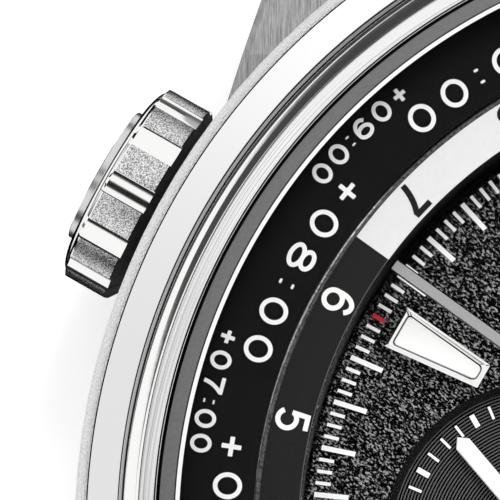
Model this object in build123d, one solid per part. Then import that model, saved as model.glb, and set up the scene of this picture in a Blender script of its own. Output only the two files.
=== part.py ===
from build123d import *
import os
from math import asin, atan2, cos, degrees, hypot, pi, radians, sin, tan

# A world time wristwatch with a steel case, as separate pieces in millimetres.
# +Z runs out of the dial and +Y points at 12 o'clock. The origin lies on the axis of
# the hands, in the plane of the caseback. Clock angles run clockwise from 12 o'clock.

# Fits and cuts
overrun = 1.0
pivot_fit = 0.03
slide_fit = 0.05
ring_fit = 0.06
case_fit = 0.10

# Heights, stacked from the caseback to the crystal
window_thickness = 1.0
rotor_gap = 0.5
rotor_height = 1.5
bridge_gap = 0.3
bridge_thickness = 0.9
train_bay = 2.1
plate_thickness = 1.2
motion_bay = 1.25
dial_thickness = 0.4
well_depth = 2.25
world_drop = 0.05
crystal_gap = 0.15
crystal_thickness = 1.2

rotor_bottom = window_thickness + rotor_gap
rotor_top = rotor_bottom + rotor_height
bridge_bottom = rotor_top + bridge_gap
bridge_top = bridge_bottom + bridge_thickness
plate_bottom = bridge_top + train_bay
plate_top = plate_bottom + plate_thickness
dial_bottom = plate_top + motion_bay
dial_top = dial_bottom + dial_thickness
city_face = dial_top + well_depth
world_face = city_face - world_drop
crystal_bottom = city_face + crystal_gap
crystal_top = crystal_bottom + crystal_thickness
crown_height = bridge_top + train_bay / 2

# Rings, from the dial out to the case
dial_radius = 14.67
dial_overlap = 0.11
dial_gap = 0.19
world_width = 1.26
world_flange_height = 0.35
world_skirt_inset = 0.03
world_skirt_wall = 0.71
channel_width = 0.24
city_print_width = 2.36
city_hidden_width = 0.23
city_plate_height = 0.5
city_tooth_inset = 0.95
city_skirt_height = 1.15
crystal_top_bevel = 0.16
crystal_top_bevel_drop = 0.06
crystal_chamfer = 0.44
crystal_chamfer_drop = 0.42
crystal_fit = 0.04
bezel_inner_band = 0.70
bezel_slope_band = 0.36
bezel_groove_band = 0.27
bezel_top_band = 0.89
bezel_seam = 0.04
rim_width = 0.38

world_inner = dial_radius + dial_gap
world_outer = world_inner + world_width
world_skirt_inner = world_inner + world_skirt_inset
world_skirt_outer = world_skirt_inner + world_skirt_wall
city_inner = world_outer + channel_width
city_print_outer = city_inner + city_print_width
city_outer = city_print_outer + city_hidden_width
city_pitch = city_outer - city_tooth_inset
crystal_flat_radius = city_print_outer
crystal_bevel_radius = crystal_flat_radius + crystal_top_bevel
crystal_radius = crystal_bevel_radius + crystal_chamfer
bezel_inner = crystal_radius + crystal_fit
bezel_band_outer = bezel_inner + bezel_inner_band
groove_inner = bezel_band_outer + bezel_slope_band
groove_outer = groove_inner + bezel_groove_band
bezel_outer = groove_outer + bezel_top_band
rim_inner = bezel_outer + bezel_seam
case_radius = rim_inner + rim_width

# Case middle
bore_gap = 0.65
rim_drop = 0.75
bezel_seat = 1.0
case_base = 1.0
case_lower_bevel = 1.1
case_lower_bevel_height = 1.2
rim_bevel = 0.08
strap_recess_wall = 1.0
strap_recess_headroom = 2.5
bore_radius = city_outer + bore_gap
rim_top = crystal_top - rim_drop
bezel_bottom = rim_top - bezel_seat

# Lugs and spring bars
lug_gap = 22.1
bar_reach = 1.0
bar_height = 3.6
bar_radius = 0.75
bar_tip_radius = 0.40
bar_tip_reach = 0.80
bar_hole_depth = 1.2
lug_end_reach = 2.6
lug_tip_width = 2.55
lug_tip_round = 0.45
lug_shoulder_angle = 52.1
lug_root_angle = 61.0
lug_foot = 0.6
lug_inner_start = 8.0
lug_shoulder_height = 10.4
lug_flat_end = 15.5
lug_bend_height = 8.4
lug_bend_reach = 2.6
lug_tip_height = 3.4
lug_bevel = 0.22
bar_distance = case_radius + bar_reach
lug_inner = lug_gap / 2
lug_end = bar_distance + lug_end_reach

# Bezel and crystal
bezel_edge_height = 0.20
bezel_top_rise = 0.36
groove_depth = 0.22
bezel_crest_drop = 0.12
bezel_band_drop = 0.50
bezel_band_fall = 0.10
bezel_ledge_height = 0.25
gasket_height = 0.10
gasket_width = 0.25

# Caseback
back_flange_radius = 20.4
back_flange_height = 1.0
back_spigot_height = 1.0
back_spigot_fit = 0.05
back_bevel = 0.35
back_ledge_inner = 14.8
window_radius = 15.4
window_fit = 0.03
back_notch_count = 6
back_notch_width = 2.2
back_notch_depth = 0.45
back_notch_reach = 1.1
back_gasket_groove = 0.30
back_gasket_height = 0.5
spigot_top = back_flange_height + back_spigot_height

# Movement holder
holder_bore_gap = 0.33
holder_seat_depth = 0.4
holder_flange_gap = 0.35
collar_headroom = 0.10
collar_lip_height = 0.30
world_seat_gap = 0.05
city_seat_gap = 0.10
holder_bore = dial_radius + holder_bore_gap
holder_flange_bore = holder_bore + holder_flange_gap
holder_outer = bore_radius - case_fit
collar_inner = world_skirt_outer + slide_fit
collar_lip_inner = world_outer + slide_fit
collar_outer = city_inner - ring_fit
city_plate_bottom = city_face - city_plate_height
city_skirt_bottom = city_plate_bottom - city_skirt_height
world_flange_bottom = world_face - world_flange_height
collar_top = world_flange_bottom - collar_headroom
collar_lip_top = collar_top + collar_lip_height
holder_top = city_skirt_bottom - city_seat_gap

# Wheels under the dial
first_level = 0.10
wheel_thickness = 0.22
level_pitch = 0.32
world_teeth = 144
world_gear_inset = 0.27
idler_large_teeth = 60
idler_small_teeth = 40
hour_teeth = 48
minute_pinion_teeth = 12
minute_teeth = 45
cannon_teeth = 15
addendum_share = 0.80
dedendum_share = 1.15
tooth_root_half_share = 0.25
tooth_tip_half_share = 0.12
arbor_radius = 0.35
pivot_radius = 0.20
pivot_depth = 0.7
post_radius = 0.6
post_circle = 11.5
post_angles = (45, 135, 225, 315)
world_pitch = dial_radius - world_gear_inset
level_one = plate_top + first_level
level_two = level_one + level_pitch
level_three = level_two + level_pitch
idler_distance = world_pitch * (1 - idler_large_teeth / world_teeth)
hour_pitch = idler_distance * hour_teeth / (hour_teeth + idler_small_teeth)
idler_small_pitch = idler_distance - hour_pitch
idler_large_pitch = world_pitch - idler_distance
minute_pinion_pitch = hour_pitch * minute_pinion_teeth / hour_teeth
minute_distance = hour_pitch + minute_pinion_pitch
cannon_pitch = minute_distance * cannon_teeth / (cannon_teeth + minute_teeth)
minute_pitch = minute_distance - cannon_pitch
idler_angle = 90
minute_angle = -90

# Centre axis, from the inside out
chrono_arbor_radius = 0.20
centre_tube_wall = 0.16
cannon_wall = 0.20
hour_pipe_wall = 0.22
centre_tube_bore = chrono_arbor_radius + slide_fit
centre_tube_radius = centre_tube_bore + centre_tube_wall
cannon_bore = centre_tube_radius + pivot_fit
cannon_radius = cannon_bore + cannon_wall
hour_pipe_bore = cannon_radius + slide_fit
hour_pipe_radius = hour_pipe_bore + hour_pipe_wall

# Dial, counters and markers
dial_hole_gap = 0.15
counter_offset = 7.11
counter_radius = 4.95
counter_seat = 0.25
counter_plate_thickness = 0.15
counter_hole_radius = 0.45
counter_rim_width = 0.12
counter_rim_height = 0.05
marker_outer = 13.69
marker_inner = 10.45
marker_width = 1.44
marker_taper = 5.3
marker_height = 0.45
marker_frame = 0.16
marker_lume_drop = 0.04
marker_floor = 0.12
short_marker_inner = 12.45
twin_marker_spread = 3.6
twin_marker_width = 0.95

# Hands
hour_hand_gap = 0.55
hand_gap = 0.30
hour_hand_thickness = 0.22
minute_hand_thickness = 0.20
chrono_hand_thickness = 0.14
hour_hand_length = 8.8
hour_hand_width = 1.50
hour_hub_radius = 1.45
minute_hand_length = 13.2
minute_hand_width = 1.20
minute_hub_radius = 1.15
hand_root_width_share = 0.62
hand_point_share = 0.55
hand_slot_margin = 0.26
hand_slot_start = 2.6
hand_slot_depth = 0.09
chrono_hand_length = 14.74
chrono_hand_width = 0.37
chrono_hub_radius = 0.85
chrono_tail = 4.2
chrono_weight_radius = 0.75
counter_hand_length = 4.36
counter_hand_width = 0.54
counter_hand_tail = 1.3
counter_hub_radius = 0.55
counter_hand_thickness = 0.16
counter_hand_gap = 0.18
counter_cam_radius = 1.1
hour_hand_angle = 304.0
minute_hand_angle = 48.0
chrono_hand_angle = 306.2
hour_counter_angle = 320.0
minute_counter_angle = 118.0
hour_hand_bottom = dial_top + hour_hand_gap
minute_hand_bottom = hour_hand_bottom + hour_hand_thickness + hand_gap
chrono_hand_bottom = minute_hand_bottom + minute_hand_thickness + hand_gap
counter_hand_bottom = dial_bottom + counter_hand_gap

# Going train, named by teeth and pitch radius
barrel_teeth = 72
centre_pinion_teeth = 12
barrel_pitch = 5.4
centre_teeth = 64
third_pinion_teeth = 8
centre_pitch = 3.84
third_teeth = 60
fourth_pinion_teeth = 8
third_pitch = 3.6
fourth_teeth = 96
escape_pinion_teeth = 8
fourth_pitch = 3.2
escape_teeth = 20
escape_tip = 2.3
escape_root = 1.85
barrel_clock = 60
third_clock = 200
fourth_clock = 200
escape_clock = 270
barrel_wall_drop = 0.30
barrel_gear_height = 0.35
barrel_height = 1.25
barrel_bottom_gap = 0.12
train_pivot_depth = 0.5
low_wheel_rise = 0.9
high_wheel_drop = 0.30
pinion_height = 0.55
rim_share = 0.80
spoke_count = 5
spoke_width = 0.30
wheel_hub_radius = 0.75

# Escapement
balance_x = -9.3
balance_y = 0.5
balance_radius = 4.0
balance_rim = 0.42
balance_height = 0.32
balance_rise = 0.42
balance_spokes = 3
roller_radius = 0.60
roller_height = 0.25
roller_rise = 1.25
staff_radius = 0.25
pallet_x = -8.15
pallet_y = -5.05
pallet_rise = 1.15
pallet_thickness = 0.20
pallet_lever_width = 0.30
pallet_lever_end_gap = 0.95
pallet_arm = 1.55
pallet_arm_width = 0.36
pallet_stone_width = 0.24
pallet_stone_clearance = 0.26
spring_turns = 7
spring_inner = 0.50
spring_outer = 2.3
spring_band = 0.06
spring_height = 0.12
spring_rise = 0.14
spring_steps = 30

# Bridges
bridge_edge_gap = 0.5
bridge_radius = holder_bore - bridge_edge_gap
bridge_slit = 0.30
bridge_split = 2.4
balance_window = 4.7
cock_foot_radius = 2.4
cock_arm_radius = 1.35
cock_gap = 0.30
pillar_radius = 0.9
pillar_edge_inset = 1.3
pillar_circle = bridge_radius - pillar_edge_inset
barrel_pillar_clocks = (8, 60, 118)
train_pillar_clocks = (168, 202, 330)
screw_head_radius = 0.62
screw_head_height = 0.30
screw_slot_width = 0.18
screw_slot_depth = 0.14
screw_shank_radius = 0.35
screw_shank_length = 1.2
jewel_radius = 0.62
jewel_thickness = 0.25
bridge_bevel = 0.10

# Rotor
rotor_post_radius = 0.8
rotor_post_head = 1.35
rotor_post_head_height = 0.30
rotor_edge_inset = 0.4
rotor_radius = bridge_radius - rotor_edge_inset
rotor_rim_width = 2.2
rotor_web = 0.45
rotor_hub_radius = 2.3
rotor_span = 170
rotor_hub_height = 0.95
rotor_clock = 205
rotor_window_inner = 4.2
rotor_window_outer = 10.6
rotor_window_span = 42
rotor_window_offset = 45
rotor_axial_gap = 0.05

# Crowns, measured outward from the watch axis
crown_radius = 3.45
crown_gap = 0.20
crown_inner_bevel = 0.40
crown_inner_bevel_width = 0.55
crown_grip = 1.56
crown_teeth = 12
flute_angle = 13.4
flute_depth = 0.09
crown_tooth_phase = 8.4
crown_dome = 0.24
crown_dome_outer = 3.25
crown_dome_slope = 55
crown_cap_radius = 2.29
crown_cap_height = 0.22
crown_cap_crown = 0.05
crown_lip = 0.10
tube_radius = 1.5
tube_wall = 0.85
tube_reach = 0.9
tube_inset = 1.9
stem_radius = tube_radius - tube_wall - slide_fit
crown_recess_fit = 0.06
stem_end_inset = 4.15
stem_inner_end = bridge_radius - stem_end_inset
pinion_end_gap = 0.2
pinion_inner = stem_inner_end + pinion_end_gap
pinion_length = 1.1
pinion_teeth = 12
pinion_pitch = 0.98
stem_block_inset = 2.1
stem_block_start = bridge_radius - stem_block_inset
stem_block_length = 1.7
stem_block_width = 2.6
stem_block_drop = 1.9

# Drive of the city ring
city_teeth = 180
setting_pinion_teeth = 8
setting_clock = 300
contrate_teeth = 16
stem_teeth = 8
contrate_tooth_length = 0.30
contrate_plate_height = 0.30
contrate_tooth_height = 0.45
contrate_clearance = 0.15
contrate_hub_radius = 1.85
contrate_tooth_share = 0.36
stem_gear_length = 0.50
pocket_gap = 0.15
pinion_drop = 0.15
setting_arbor_foot = 0.5
setting_pitch = city_pitch * setting_pinion_teeth / city_teeth
setting_distance = city_pitch - setting_pitch
contrate_pitch = 2 * setting_pitch
stem_gear_pitch = contrate_pitch * stem_teeth / contrate_teeth

# Pushers
pusher_clocks = (62, 118)
pusher_travel = 0.8
pusher_radius = 1.9
pusher_length = 1.7
pusher_edge = 0.3
pusher_stem_radius = 0.8
pusher_tube_radius = 1.25
pusher_tube_reach = 0.35
pusher_gap = 0.25
pusher_stem_inset = 4.0
pusher_stop = 0.1

# Strap
strap_width = 21.5
strap_end_width = 18.0
strap_head_radius = 1.9
strap_bore_fit = 0.05
strap_thickness = 3.2
strap_tip_thickness = 2.4
strap_drop_run = 12.0
strap_taper_run = 50.0
upper_length = 74.0
lower_length = 112.0
strap_hole_count = 7
strap_hole_pitch = 6.5
strap_hole_radius = 1.0
strap_hole_start = 27.0
tang_slot_width = 2.6
tang_slot_length = 7.5

# Buckle
buckle_bar_radius = 0.8
buckle_side_width = 1.6
buckle_height = 2.2
buckle_reach = 9.5
buckle_front_width = 1.9
buckle_gap = 0.35
buckle_round = 1.6
tang_width = 1.7
tang_thickness = 0.9
tang_eye_radius = 1.45
keeper_wall = 0.8
keeper_width = 5.0
keeper_clearance = 0.32
keeper_fixed_distance = 63.0
keeper_loose_distance = 49.0
keeper_table_gap = 0.03

BASE = (Align.CENTER, Align.CENTER, Align.MIN)


# Helpers
def polar(radius, angle):
    """Point at a radius and an angle counted anticlockwise from 3 o'clock."""
    return (radius * cos(radians(angle)), radius * sin(radians(angle)))


def clock_point(radius, clock):
    """Point at a radius and an angle counted clockwise from 12 o'clock."""
    return polar(radius, 90 - clock)


def moved(point, step):
    """The point shifted by a step."""
    return (point[0] + step[0], point[1] + step[1])


def disc(radius, bottom, top, centre=(0, 0)):
    """Upright round disc or pin."""
    return Pos(centre[0], centre[1], bottom) * Cylinder(radius, top - bottom, align=BASE)


def ring(outer, inner, bottom, top, centre=(0, 0)):
    """Upright round washer."""
    return disc(outer, bottom, top, centre) - disc(inner, bottom - overrun, top + overrun, centre)


def turned(points):
    """Solid of revolution about the watch axis from (radius, height) points."""
    profile = Plane.XZ * make_face(Polyline(*points, close=True))
    return revolve(profile, Axis.Z)


def prism(points, bottom, top):
    """Upright prism over a closed outline."""
    return Pos(0, 0, bottom) * extrude(make_face(Polyline(*points, close=True)), top - bottom)


def block(size_x, size_y, bottom, top, centre=(0, 0)):
    """Upright box centred on a point."""
    return Pos(centre[0], centre[1], bottom) * Box(size_x, size_y, top - bottom, align=BASE)


def group(*solids):
    """Several separate solids in one node."""
    return Compound(children=list(solids))


def radial(shape, clock, height):
    """Lays a shape built along +Z out along a clock direction at a height."""
    return Pos(0, 0, height) * Rot(0, 0, 90 - clock) * Rot(0, 90, 0) * shape


def gear_outline(teeth, pitch, phase=0, inward=False):
    """Outline of straight sided teeth; phase is the angle of one tooth."""
    module = 2 * pitch / teeth
    side = -1 if inward else 1
    tip = pitch + side * addendum_share * module
    root = pitch - side * dedendum_share * module
    step = 360 / teeth
    points = []
    for index in range(teeth):
        middle = phase + index * step
        points.append(polar(root, middle - tooth_root_half_share * step))
        points.append(polar(tip, middle - tooth_tip_half_share * step))
        points.append(polar(tip, middle + tooth_tip_half_share * step))
        points.append(polar(root, middle + tooth_root_half_share * step))
    return points


def gear(teeth, pitch, bottom, top, centre=(0, 0), phase=0):
    """Spur gear blank with teeth."""
    outline = gear_outline(teeth, pitch, phase)
    return Pos(centre[0], centre[1], 0) * prism(outline, bottom, top)


def gap_phase(direction, teeth):
    """Phase that puts a tooth gap at a direction."""
    return direction + 180 / teeth


def spoked(teeth, pitch, bottom, top, centre, phase):
    """Train wheel with an open rim, spokes and a hub."""
    wheel = gear(teeth, pitch, bottom, top, (0, 0), phase)
    module = 2 * pitch / teeth
    window_outer = (pitch - dedendum_share * module) * rim_share ** (1 / 2)
    cutter = ring(window_outer, wheel_hub_radius, bottom - overrun, top + overrun)
    for index in range(spoke_count):
        spoke = Pos(window_outer / 2, 0, 0) * block(
            window_outer + spoke_width, spoke_width, bottom - overrun, top + overrun
        )
        cutter -= Rot(0, 0, phase + index * 360 / spoke_count) * spoke
    return Pos(centre[0], centre[1], 0) * (wheel - cutter)


# Case
def lug_plan():
    """Plan of the lug at 1 o'clock."""
    shoulder = clock_point(case_radius, lug_shoulder_angle)
    root = clock_point(case_radius, lug_root_angle)
    tip_outer = lug_inner + lug_tip_width
    return [
        (lug_inner, lug_inner_start),
        (root[0], root[1] - lug_bend_reach),
        shoulder,
        (tip_outer, lug_end - lug_tip_round),
        (tip_outer - lug_tip_round, lug_end),
        (lug_inner, lug_end),
    ]


def lug_side():
    """Side profile of a lug, seen along the bar, as a face in the YZ plane."""
    top_start = (0, lug_shoulder_height)
    flat_end = (lug_flat_end, lug_shoulder_height)
    bend = (bar_distance - lug_bend_reach, lug_bend_height)
    tip_top = (lug_end, lug_tip_height)
    tip_low = (lug_end, lug_foot + lug_tip_round)
    foot = (lug_end - lug_tip_round, lug_foot)
    heel = (back_flange_radius + case_fit, case_base)
    start_low = (0, case_base)
    outline = [
        Line(top_start, flat_end),
        ThreePointArc(flat_end, bend, tip_top),
        Line(tip_top, tip_low),
        Line(tip_low, foot),
        Line(foot, heel),
        Line(heel, start_low),
        Line(start_low, top_start),
    ]
    return Plane.YZ * make_face(outline)


def lug():
    """Lug at 1 o'clock with a bevel along its outer top edge."""
    plan = prism(lug_plan(), -overrun, lug_shoulder_height + overrun)
    body = plan & extrude(lug_side(), case_radius)
    shoulder = clock_point(case_radius, lug_shoulder_angle)
    edges = body.edges().filter_by(
        lambda edge: edge.center().X > lug_inner + lug_tip_width / 2
        and edge.center().Z > lug_tip_height
        and shoulder[1] < edge.center().Y < lug_end - lug_tip_round
        and abs(edge.tangent_at(0).Z) < abs(edge.tangent_at(0).Y) * 2
        and abs(edge.tangent_at(0).X) < abs(edge.tangent_at(0).Y)
    )
    body = chamfer(edges, lug_bevel)
    hole = Rot(0, 90, 0) * Cylinder(
        bar_tip_radius + pivot_fit, 2 * bar_hole_depth
    )
    return body - Pos(lug_inner, bar_distance, bar_height) * hole


def case_middle():
    """Round case wall with four lugs, tube holes and the recesses for the strap ends."""
    rim_edge = rim_top - rim_bevel
    wall = turned([
        (bore_radius, case_base),
        (case_radius - case_lower_bevel, case_base),
        (case_radius, case_base + case_lower_bevel_height),
        (case_radius, rim_edge),
        (case_radius - rim_bevel, rim_top),
        (rim_inner, rim_top),
        (rim_inner, bezel_bottom),
        (bore_radius, bezel_bottom),
    ])
    recess_depth = lug_end - (bore_radius + strap_recess_wall)
    recess_centre = bore_radius + strap_recess_wall + recess_depth / 2
    recess_top = rim_top - strap_recess_headroom
    for side in (1, -1):
        wall -= block(lug_gap, recess_depth, 0, recess_top, (0, side * recess_centre))
    bore = disc(bore_radius, 0, rim_top)
    bezel_room = disc(rim_inner, bezel_bottom, crystal_top)
    one_lug = lug() - bore - bezel_room
    for shape in (one_lug, mirror(one_lug, Plane.YZ)):
        wall += shape
        wall += mirror(shape, Plane.XZ)
    for clock in (90, setting_clock):
        hole = disc(tube_radius, bore_radius - overrun, case_radius + overrun)
        wall -= radial(hole, clock, crown_height)
    for clock in pusher_clocks:
        hole = disc(pusher_tube_radius, bore_radius - overrun, case_radius + overrun)
        wall -= radial(hole, clock, crown_height)
    return wall


def bezel():
    """Polished bezel with a turned groove and an inner ledge under the crystal."""
    outer_edge = rim_top + bezel_edge_height
    crest = outer_edge + bezel_top_rise
    inner_crest = crest - bezel_crest_drop
    band_top = inner_crest - bezel_band_drop + bezel_band_fall
    ledge_top = crystal_bottom - gasket_height
    ledge_bottom = ledge_top - bezel_ledge_height
    ledge_inner = city_outer + case_fit
    return turned([
        (ledge_inner, ledge_bottom),
        (bezel_inner, bezel_bottom),
        (bezel_outer, bezel_bottom),
        (bezel_outer, outer_edge),
        (groove_outer, crest),
        (groove_outer, crest - groove_depth),
        (groove_inner, crest - groove_depth),
        (groove_inner, inner_crest),
        (bezel_band_outer, band_top + bezel_band_fall),
        (bezel_inner, band_top),
        (bezel_inner, ledge_top),
        (ledge_inner, ledge_top),
    ])


def crystal():
    """Flat crystal with a narrow top bevel and a wider outer chamfer."""
    bevel_height = crystal_top - crystal_top_bevel_drop
    return turned([
        (0, crystal_bottom),
        (crystal_radius, crystal_bottom),
        (crystal_radius, bevel_height - crystal_chamfer_drop),
        (crystal_bevel_radius, bevel_height),
        (crystal_flat_radius, crystal_top),
        (0, crystal_top),
    ])


def crystal_gasket():
    """Flat gasket between the crystal and the bezel's ledge."""
    return ring(crystal_radius, crystal_radius - gasket_width, crystal_bottom - gasket_height,
                crystal_bottom)


def caseback():
    """Screw back: a ring with tool notches and a spigot that holds the movement holder."""
    spigot_radius = bore_radius - back_spigot_fit
    groove_radius = spigot_radius - back_gasket_groove
    groove_top = back_flange_height + back_gasket_height
    body = turned([
        (window_radius + window_fit, 0),
        (back_flange_radius - back_bevel, 0),
        (back_flange_radius, back_bevel),
        (back_flange_radius, back_flange_height),
        (groove_radius, back_flange_height),
        (groove_radius, groove_top),
        (spigot_radius, groove_top),
        (spigot_radius, spigot_top),
        (back_ledge_inner, spigot_top),
        (back_ledge_inner, window_thickness),
        (window_radius + window_fit, window_thickness),
    ])
    for index in range(back_notch_count):
        notch = block(back_notch_reach * 2, back_notch_width, -overrun, back_notch_depth,
                      (back_flange_radius, 0))
        body -= Rot(0, 0, index * 360 / back_notch_count) * notch
    return body


def caseback_window():
    """Round window in the caseback, flush with its ring."""
    return disc(window_radius, 0, window_thickness)


def caseback_gasket():
    """Gasket in the groove of the spigot."""
    spigot_radius = bore_radius - back_spigot_fit
    return ring(bore_radius, spigot_radius - back_gasket_groove, back_flange_height,
                back_flange_height + back_gasket_height)


def movement_holder():
    """Holder ring round the movement; its collar carries both turning rings."""
    flange_seat = plate_top - holder_seat_depth
    world_seat = level_three - world_seat_gap
    body = turned([
        (holder_bore, spigot_top),
        (holder_outer, spigot_top),
        (holder_outer, holder_top),
        (collar_outer, holder_top),
        (collar_outer, collar_lip_top),
        (collar_lip_inner, collar_lip_top),
        (collar_lip_inner, collar_top),
        (collar_inner, collar_top),
        (collar_inner, world_seat),
        (holder_flange_bore, world_seat),
        (holder_flange_bore, flange_seat),
        (holder_bore, flange_seat),
    ])
    stem_hole = disc(stem_radius + slide_fit, holder_bore - overrun, bore_radius + overrun)
    body -= radial(stem_hole, 90, crown_height)
    for clock in pusher_clocks:
        hole = disc(pusher_stem_radius + slide_fit, holder_bore - overrun, bore_radius + overrun)
        body -= radial(hole, clock, crown_height)
    body -= setting_pockets()
    return body


def setting_pockets():
    """Room in the holder for the wheel that drives the city ring."""
    centre = clock_point(setting_distance, setting_clock)
    module = 2 * setting_pitch / setting_pinion_teeth
    pinion_tip = setting_pitch + addendum_share * module
    wheel_room = disc(contrate_hub_radius + pocket_gap, contrate_bottom() - pocket_gap,
                      contrate_plate_top() + pocket_gap, centre)
    pinion_room = disc(pinion_tip + slide_fit, holder_top - pocket_gap,
                       city_plate_bottom - slide_fit, centre)
    bore = disc(arbor_radius + pivot_fit, setting_foot_bottom(), holder_top + overrun, centre)
    stem_room = disc(stem_gear_tip() + pocket_gap, contrate_inner_reach() - pocket_gap,
                     bore_radius + overrun)
    return wheel_room + pinion_room + bore + radial(stem_room, setting_clock, crown_height)


def contrate_plate_bottom():
    """Underside of the contrate wheel's plate, clear of the stem's teeth."""
    return crown_height + stem_gear_tip() + contrate_clearance


def contrate_plate_top():
    return contrate_plate_bottom() + contrate_plate_height


def contrate_bottom():
    return contrate_plate_bottom() - contrate_tooth_height


def setting_foot_bottom():
    return contrate_bottom() - setting_arbor_foot


def contrate_inner_reach():
    """Distance from the watch axis to the inner side of the stem's teeth."""
    return setting_distance + contrate_pitch - stem_gear_length / 2


def stem_gear_tip():
    module = 2 * stem_gear_pitch / stem_teeth
    return stem_gear_pitch + addendum_share * module


def stem_tubes():
    """Tubes of both crowns and both pushers, pressed into the case wall."""
    crown_tube = ring(tube_radius, tube_radius - tube_wall, case_radius - tube_inset,
                      case_radius + tube_reach)
    pusher_tube = ring(pusher_tube_radius, pusher_stem_radius + slide_fit,
                       case_radius - tube_inset, case_radius + pusher_tube_reach)
    tubes = [radial(crown_tube, clock, crown_height) for clock in (90, setting_clock)]
    tubes += [radial(pusher_tube, clock, crown_height) for clock in pusher_clocks]
    return group(*tubes)


# Crowns and pushers
def crown_knob():
    """Fluted crown along +Z, with its heights counted from the watch axis."""
    inner = case_radius + crown_gap
    grip_start = inner + crown_inner_bevel
    grip_end = grip_start + crown_grip
    dome_top = grip_end + crown_dome
    cap_edge = dome_top + crown_cap_height
    cap_top = cap_edge + crown_cap_crown
    cap_ball = (crown_cap_radius ** 2 + crown_cap_crown ** 2) / (2 * crown_cap_crown)
    cap_half_angle = asin(crown_cap_radius / cap_ball) / 2
    cap_mid = (cap_ball * sin(cap_half_angle), cap_top - cap_ball * (1 - cos(cap_half_angle)))
    outline = [
        Line((0, inner), (crown_radius - crown_inner_bevel_width, inner)),
        Line((crown_radius - crown_inner_bevel_width, inner), (crown_radius, grip_start)),
        Line((crown_radius, grip_start), (crown_radius, grip_end - crown_lip)),
        Line((crown_radius, grip_end - crown_lip), (crown_dome_outer, grip_end)),
        Spline([(crown_dome_outer, grip_end), (crown_cap_radius, dome_top)],
               tangents=[(-tan(radians(crown_dome_slope)), 1), (-1, 0)]),
        Line((crown_cap_radius, dome_top), (crown_cap_radius, cap_edge)),
        ThreePointArc((crown_cap_radius, cap_edge), cap_mid, (0, cap_top)),
        Line((0, cap_top), (0, inner)),
    ]
    knob = revolve(Plane.XZ * make_face(outline), Axis.Z)
    half_chord = crown_radius * sin(radians(flute_angle / 2))
    scoop = (half_chord ** 2 + flute_depth ** 2) / (2 * flute_depth)
    scoop_centre = crown_radius * cos(radians(flute_angle / 2)) - flute_depth + scoop
    for index in range(crown_teeth):
        angle = crown_tooth_phase + (index + 1 / 2) * 360 / crown_teeth
        flute = disc(scoop, inner - overrun, grip_end, polar(scoop_centre, angle))
        knob -= flute
    recess = disc(tube_radius + crown_recess_fit, inner - overrun,
                  case_radius + tube_reach + slide_fit)
    return knob - recess


def stem_shaft(inner_end):
    """Stem along +Z that ends in the crown."""
    return disc(stem_radius, inner_end, case_radius + tube_reach + slide_fit)


def main_crown():
    return radial(crown_knob(), 90, crown_height)


def winding_stem():
    return radial(stem_shaft(stem_inner_end), 90, crown_height)


def winding_pinion():
    """Toothed sleeve that slides on the stem and stays in its place."""
    body = gear(pinion_teeth, pinion_pitch, pinion_inner, pinion_inner + pinion_length)
    body -= disc(stem_radius + pivot_fit, 0, case_radius)
    return radial(body, 90, crown_height)


def city_crown():
    return radial(crown_knob(), setting_clock, crown_height)


def city_stem():
    """Stem of the crown at 10 with teeth on its inner end."""
    inner = contrate_inner_reach()
    # One tooth of the stem points up into a gap of the contrate wheel.
    teeth = gear(stem_teeth, stem_gear_pitch, inner, inner + stem_gear_length, (0, 0), 180)
    return radial(stem_shaft(inner) + teeth, setting_clock, crown_height)


def city_setting_wheel():
    """Contrate wheel, upright arbor and pinion that turn the city ring."""
    plate_low = contrate_plate_bottom()
    body = disc(contrate_hub_radius, plate_low, contrate_plate_top())
    half_width = contrate_tooth_share * pi * contrate_pitch / contrate_teeth
    outward = 90 - setting_clock
    for index in range(contrate_teeth):
        tooth = block(contrate_tooth_length, 2 * half_width, contrate_bottom(), plate_low + pivot_fit,
                      (contrate_pitch, 0))
        body += Rot(0, 0, gap_phase(outward, contrate_teeth) + index * 360 / contrate_teeth) * tooth
    body += disc(arbor_radius, setting_foot_bottom() + pinion_drop, city_plate_bottom - pinion_drop)
    body += gear(setting_pinion_teeth, setting_pitch, city_skirt_bottom,
                 city_plate_bottom - pinion_drop, (0, 0), outward)
    centre = clock_point(setting_distance, setting_clock)
    return Pos(centre[0], centre[1], 0) * body


def pusher(clock):
    """Round pusher with its stem."""
    inner = case_radius + pusher_tube_reach + pusher_gap + pusher_travel
    outer = inner + pusher_length
    body = turned([
        (0, case_radius - pusher_stem_inset),
        (pusher_stem_radius, case_radius - pusher_stem_inset),
        (pusher_stem_radius, inner),
        (pusher_radius - pusher_edge / 2, inner),
        (pusher_radius, inner + pusher_edge / 2),
        (pusher_radius, outer - pusher_edge),
        (pusher_radius - pusher_edge, outer),
        (0, outer + pusher_stop),
    ])
    return radial(body, clock, crown_height)


# Rings round the dial
def city_ring():
    """Outer ring with internal teeth; the city crown turns it."""
    plate = ring(city_outer, city_inner, city_plate_bottom, city_face)
    skirt = disc(city_outer, city_skirt_bottom, city_plate_bottom)
    outward = 90 - setting_clock
    hole = prism(gear_outline(city_teeth, city_pitch, gap_phase(outward, city_teeth), True),
                 city_skirt_bottom - overrun, city_plate_bottom)
    return plate + (skirt - hole)


def world_disc():
    """24 hour ring with a skirt that reaches its internal teeth under the dial."""
    body = turned([
        (world_skirt_inner, level_three + wheel_thickness),
        (world_skirt_inner, level_three),
        (world_skirt_outer, level_three),
        (world_skirt_outer, world_flange_bottom),
        (world_outer, world_flange_bottom),
        (world_outer, world_face),
        (world_inner, world_face),
        (world_inner, world_flange_bottom),
        (world_skirt_inner, world_flange_bottom),
    ])
    toothed = disc(world_skirt_outer, level_three, level_three + wheel_thickness)
    hole = prism(gear_outline(world_teeth, world_pitch, gap_phase(idler_angle, world_teeth), True),
                 level_three - overrun, level_three + wheel_thickness + overrun)
    return body + (toothed - hole)


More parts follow.
